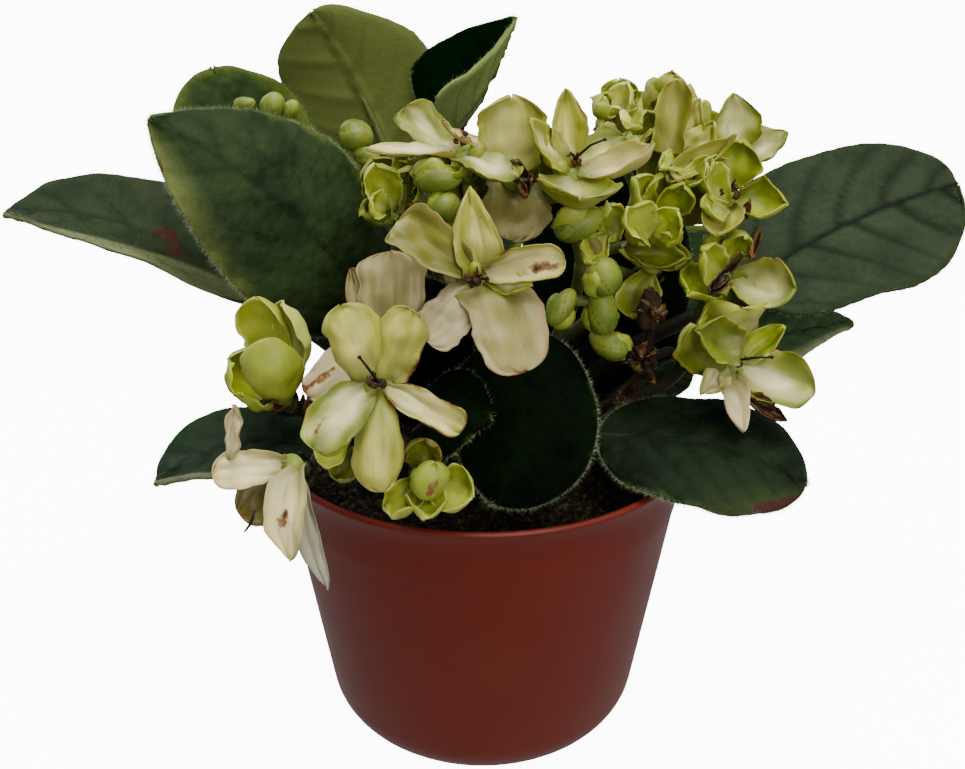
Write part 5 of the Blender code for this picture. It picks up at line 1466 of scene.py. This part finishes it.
# Bloom, length of its style, the way the style leans
STAMENS = (
    ("bloom_front_centre", 3.2, (-0.5, -0.3, 0.9)),
    ("bloom_centre_pale", 0, (0, 0, 1)),
    ("bloom_top_left", 0, (0, 0, 1)),
    ("bloom_top_mid", 0, (0, 0, 1)),
    ("bloom_top_white", 4.0, (0.9, -0.3, 0.5)),
    ("bloom_right_cup", 0, (0, 0, 1)),
    ("bloom_right_low", 4.2, (0.9, -0.4, 0.2)),
)
FILAMENTS = 7
ANTHERS = 5
dry_group, given, place = skin_group("dried tissue", ("Brown", "Dark", "Straw"))
tree = dry_group
coarse = speckle(tree, place, 420, 4, 0.65)
fine = speckle(tree, place, 1900, 4, 0.7)
tone = blend(tree, step_between(tree, coarse, 0.35, 0.6), given["Dark"], given["Brown"])
tone = blend(tree, step_between(tree, fine, 0.55, 0.75), tone, given["Straw"])
put_out(tree, tone, sum_of(tree, "MULTIPLY_ADD", coarse, 0.3, 0.45), sum_of(tree, "ADD", coarse, fine))
anther_skin = skin_material(
    "shrunken anther", dry_group, {"Brown": (70, 44, 22), "Dark": (30, 19, 11), "Straw": (128, 90, 44)},
    gloss=0.2, bump=0.7, depth=0.0003)
black_style = skin_material(
    "blackened style", dry_group, {"Brown": (30, 21, 14), "Dark": (14, 10, 8), "Straw": (52, 38, 26)},
    gloss=0.2, bump=0.5)

flower_axes = {row[0]: (np.array(row[1], float), unit(np.array(row[2], float))) for row in BLOOMS}
for number, (other, style, lean) in enumerate(STAMENS):
    dice = Random(number + 150)
    centre, facing = flower_axes[other]
    start = centre + facing * (0.8 + 3 * CLEARANCE)
    first = unit(np.cross(facing, (0.1, 0.3, 0.9)))
    second = np.cross(facing, first)
    parts = []
    for i in range(FILAMENTS):
        turn = i * 2 * pi / FILAMENTS + dice.uniform(-0.5, 0.5)
        away = cos(turn) * first + sin(turn) * second
        middle = start + facing * dice.uniform(-0.2, 1.1) + away * dice.uniform(0.5, 1.3)
        path = bend(start - facing * 0.6, facing * dice.uniform(0.8, 2.2), middle,
                    away * dice.uniform(-1.2, 1.2) - facing * dice.uniform(0.2, 1.4), 12)
        parts.append((*stem(path, np.linspace(0.17, 0.1, len(path)), sides=6), i % 2))
        if i < ANTHERS:
            along = unit(np.cross(facing, away) + facing * dice.uniform(-0.8, 0.8))
            along = along * dice.uniform(0.35, 0.6)
            parts.append((*ball(middle - along, middle + along, dice.uniform(0.45, 0.8), sides=14, folds=0.2,
                                lumps=0.45, seed=i + number), 0))
    if style:
        lean = unit(np.array(lean, float))
        path = smooth_line([start - facing * 0.3, start + facing * 0.8,
                            start + facing * 1.8 + lean * style * 0.5, start + facing * 1.6 + lean * style])
        parts.append((*stem(path, np.linspace(0.2, 0.13, len(path)), sides=8), 1))
        parts.append((*ball(path[-1] - facing * 0.2, path[-1] + facing * 0.2, 0.5, rows=6, sides=8), 1))
    piece = gather("anthers_" + other.replace("bloom_", ""), parts, [anther_skin, black_style])
    place_on(piece, other.replace("bloom_", "stamens_"))


# The dried stalk
# A spent flower stalk, shrivelled and brown, with the crumpled remains of its flowers.

DRIED_ROOT = (13.5, -4)
dried_brown = skin_material(
    "shrivelled stalk", dry_group, {"Brown": (46, 32, 14), "Dark": (20, 13, 7), "Straw": (86, 60, 30)},
    gloss=0.2, bump=0.8, depth=0.0004)
trunk = smooth_line([(*DRIED_ROOT, SOIL_HEIGHT - ROOT_DEPTH), (*DRIED_ROOT, 42), (17.3, -3.5, 48),
                     (20, -5.5, 53), (21.7, -8.5, 58.5), (22, -9.8, 67)])
branch = smooth_line([(22, -9, 60), (25, -8.5, 61), (28, -8, 59.5)])
parts = [(*stem(trunk, np.linspace(1, 0.75, len(trunk)), sides=14), 0),
         (*stem(branch, np.linspace(0.75, 0.55, len(branch)), sides=12), 0)]
# The knots of its spent flowers as low end, high end and width,
# and the scraps on them as middle, spread and count
KNOTS = (((21.5, -10.3, 64.5), (21.9, -10.3, 69.8), 2.9), ((21.5, -9, 57.5), (21.5, -9, 62), 3.2),
         ((18.3, -5.5, 52.8), (21.8, -6.2, 52.5), 2.6), ((27, -8.2, 60.2), (28.6, -8, 59), 1.7))
HEAPS = (((21.9, -10.2, 67), (1.5, 1.2, 2.6), 9), ((21.4, -9, 59.8), (1.7, 1.4, 2.2), 9),
         ((20, -6, 52.7), (1.9, 1.3, 1.2), 6), ((28, -8.2, 59.7), (0.8, 0.8, 0.8), 3))
for low, high, width in KNOTS:
    parts.append((*ball(low, high, width, rows=22, sides=30, folds=0.14, lumps=1.1, seed=width), 0))
dice = Random(170)
for heap, spread_of_heap, count in HEAPS:
    for _ in range(count):
        way = unit(np.array([dice.uniform(-1, 1) for _ in range(3)]))
        at = np.array(heap) + way * np.array(spread_of_heap) * dice.uniform(0.3, 1)
        turned_to = unit(way + 0.8 * np.array([dice.uniform(-1, 1) for _ in range(3)]))
        reach = unit(np.cross(way, (dice.uniform(-1, 1), 0.4, 0.9))) * dice.uniform(0.9, 1.9)
        width, curl, cup = dice.uniform(0.9, 2.0), dice.uniform(-0.3, 0.3), dice.uniform(10, 50)
        scrap = (at - reach * 0.6, at + reach, width, curl, cup,
                 "dried", 0.7, 0.5, 0.8, 0.35, 0.5, "round", 1)
        parts.append((*petal_part(turned_to, scrap, dice, 13, 9)[:3], 1))
dried = gather("shrivelled_stalk", parts, [dried_brown, petal_wax])
points, normals = (np.empty(len(dried.data.vertices) * 3) for _ in range(2))
dried.data.vertices.foreach_get("co", points)
dried.data.vertices.foreach_get("normal", normals)
rough = [noise.noise(Vector(at) * 700) * 0.3 + noise.noise(Vector(at) * 1700) * 0.15
         for at in points.reshape(-1, 3)]
dried.data.vertices.foreach_set("co", points + normals * np.repeat(rough, 3) * MM)
place_on(dried, "stalk_dried")


# The crown
# The growing point at the middle of the plant, with three small folded leaves.

crown_leaf = leaf_skin("young crown leaf", (66, 84, 38), (92, 108, 50), (110, 118, 70), (128, 140, 70),
                       (96, 110, 56), 0.3)
rootstock = np.array([(0, 1, 41), (0, 1, 42.5), (0, 1, 44.5), (0, 1, 46)], float)
parts = [(*stem(rootstock, (2.9, 2.7, 2.2, 1.7), {"hairy": [1.0]}, 20), 1)]
for i in range(3):
    turn = radians(60 + 120 * i)
    out_way = np.array((cos(turn), sin(turn), 0))
    base = np.array((0, 1, SOIL_HEIGHT + 4.5)) + out_way
    S, T = np.meshgrid(np.linspace(-1, 1, 17), np.linspace(0, 1, 25))
    line, along = blade_line(base, base + out_way * 1.5 + (0, 0, 4), base + out_way * 3.5 + (0, 0, 7), T)
    side = unit(np.cross(along, np.array((0, 0, 1)) - out_way))
    up = unit(np.cross(side, along))
    reach = 2.25 * leaf_outline(T, 0.55, 0.3) * abs(S)
    grid = line + side * (reach * np.sign(S))[..., None] + up * (0.25 * reach * abs(S))[..., None]
    marks = {"vein": np.exp(-(reach / 0.25) ** 2)[..., None], "rim": abs(S)[..., None], "hairy": [2.0]}
    half = 0.32 * (1 - 0.6 * abs(S) ** 3)
    parts.append((*sheet(grid, half, half, marks), 0))
crown = gather("crown_leaves", parts, [crown_leaf, petiole_flesh])
crown = with_hairs(crown, 90, 6.0, 0.4, 1.0)
place_on(crown, "crown")


# The studio
# A pale seamless floor under broad soft light from above, in front and behind.
# The floor is lit white for the camera only and throws no light back on the plant.

FLOOR_REACH = 8.0
paper = bpy.data.materials.new("studio paper")
paper.use_nodes = True
tree = paper.node_tree
place = add_node(tree, "ShaderNodeTexCoord").outputs["Object"]
grain = blend(tree, speckle(tree, place, 900, 2), colour(246, 246, 246), colour(251, 251, 251))
shader = tree.nodes["Principled BSDF"]
tree.links.new(grain, shader.inputs["Base Color"])
shader.inputs["Roughness"].default_value = 0.7
tree.links.new(grain, shader.inputs["Emission Color"])
shader.inputs["Emission Strength"].default_value = 12.0
floor_mesh = bpy.data.meshes.new("studio_floor")
corners = [(-FLOOR_REACH, -FLOOR_REACH, 0), (FLOOR_REACH, -FLOOR_REACH, 0), (FLOOR_REACH, FLOOR_REACH, 0),
           (-FLOOR_REACH, FLOOR_REACH, 0)]
floor_mesh.from_pydata(corners, [], [(0, 1, 2, 3)])
floor_mesh.materials.append(paper)
floor = bpy.data.objects.new("studio_floor", floor_mesh)
bpy.context.scene.collection.objects.link(floor)
floor.visible_diffuse = False
floor.visible_glossy = False
floor.visible_transmission = False

world = bpy.data.worlds.new("studio")
world.use_nodes = True
sky = world.node_tree.nodes["Background"]
sky.inputs["Color"].default_value = (1.0, 1.0, 1.0, 1.0)
sky.inputs["Strength"].default_value = 0.52
bpy.context.scene.world = world


def soft_light(name, place, aim, size, power):
    """A square soft light at a place, aimed at a point."""
    light = bpy.data.lights.new(name, "AREA")
    light.size = size
    light.energy = power
    made = bpy.data.objects.new(name, light)
    made.location = place
    made.rotation_euler = (Vector(place) - Vector(aim)).to_track_quat("Z", "Y").to_euler()
    bpy.context.scene.collection.objects.link(made)


soft_light("overhead softbox", (0.06, -0.10, 0.7), (0, 0, 0.06), 0.45, 7)
soft_light("front softbox", (0.2, -0.6, 0.3), (0, 0, 0.05), 0.3, 2.6)
soft_light("back softbox", (-0.45, 0.5, 0.35), (0, 0, 0.05), 0.4, 2.0)

lens = bpy.data.cameras.new("photo camera")
lens.sensor_width = 36
lens.lens = 42.4
camera = bpy.data.objects.new("photo camera", lens)
camera.location = (0, -0.150, 0.11515)
camera.rotation_euler = (radians(67.35), 0, 0)
bpy.context.scene.collection.objects.link(camera)
bpy.context.scene.camera = camera
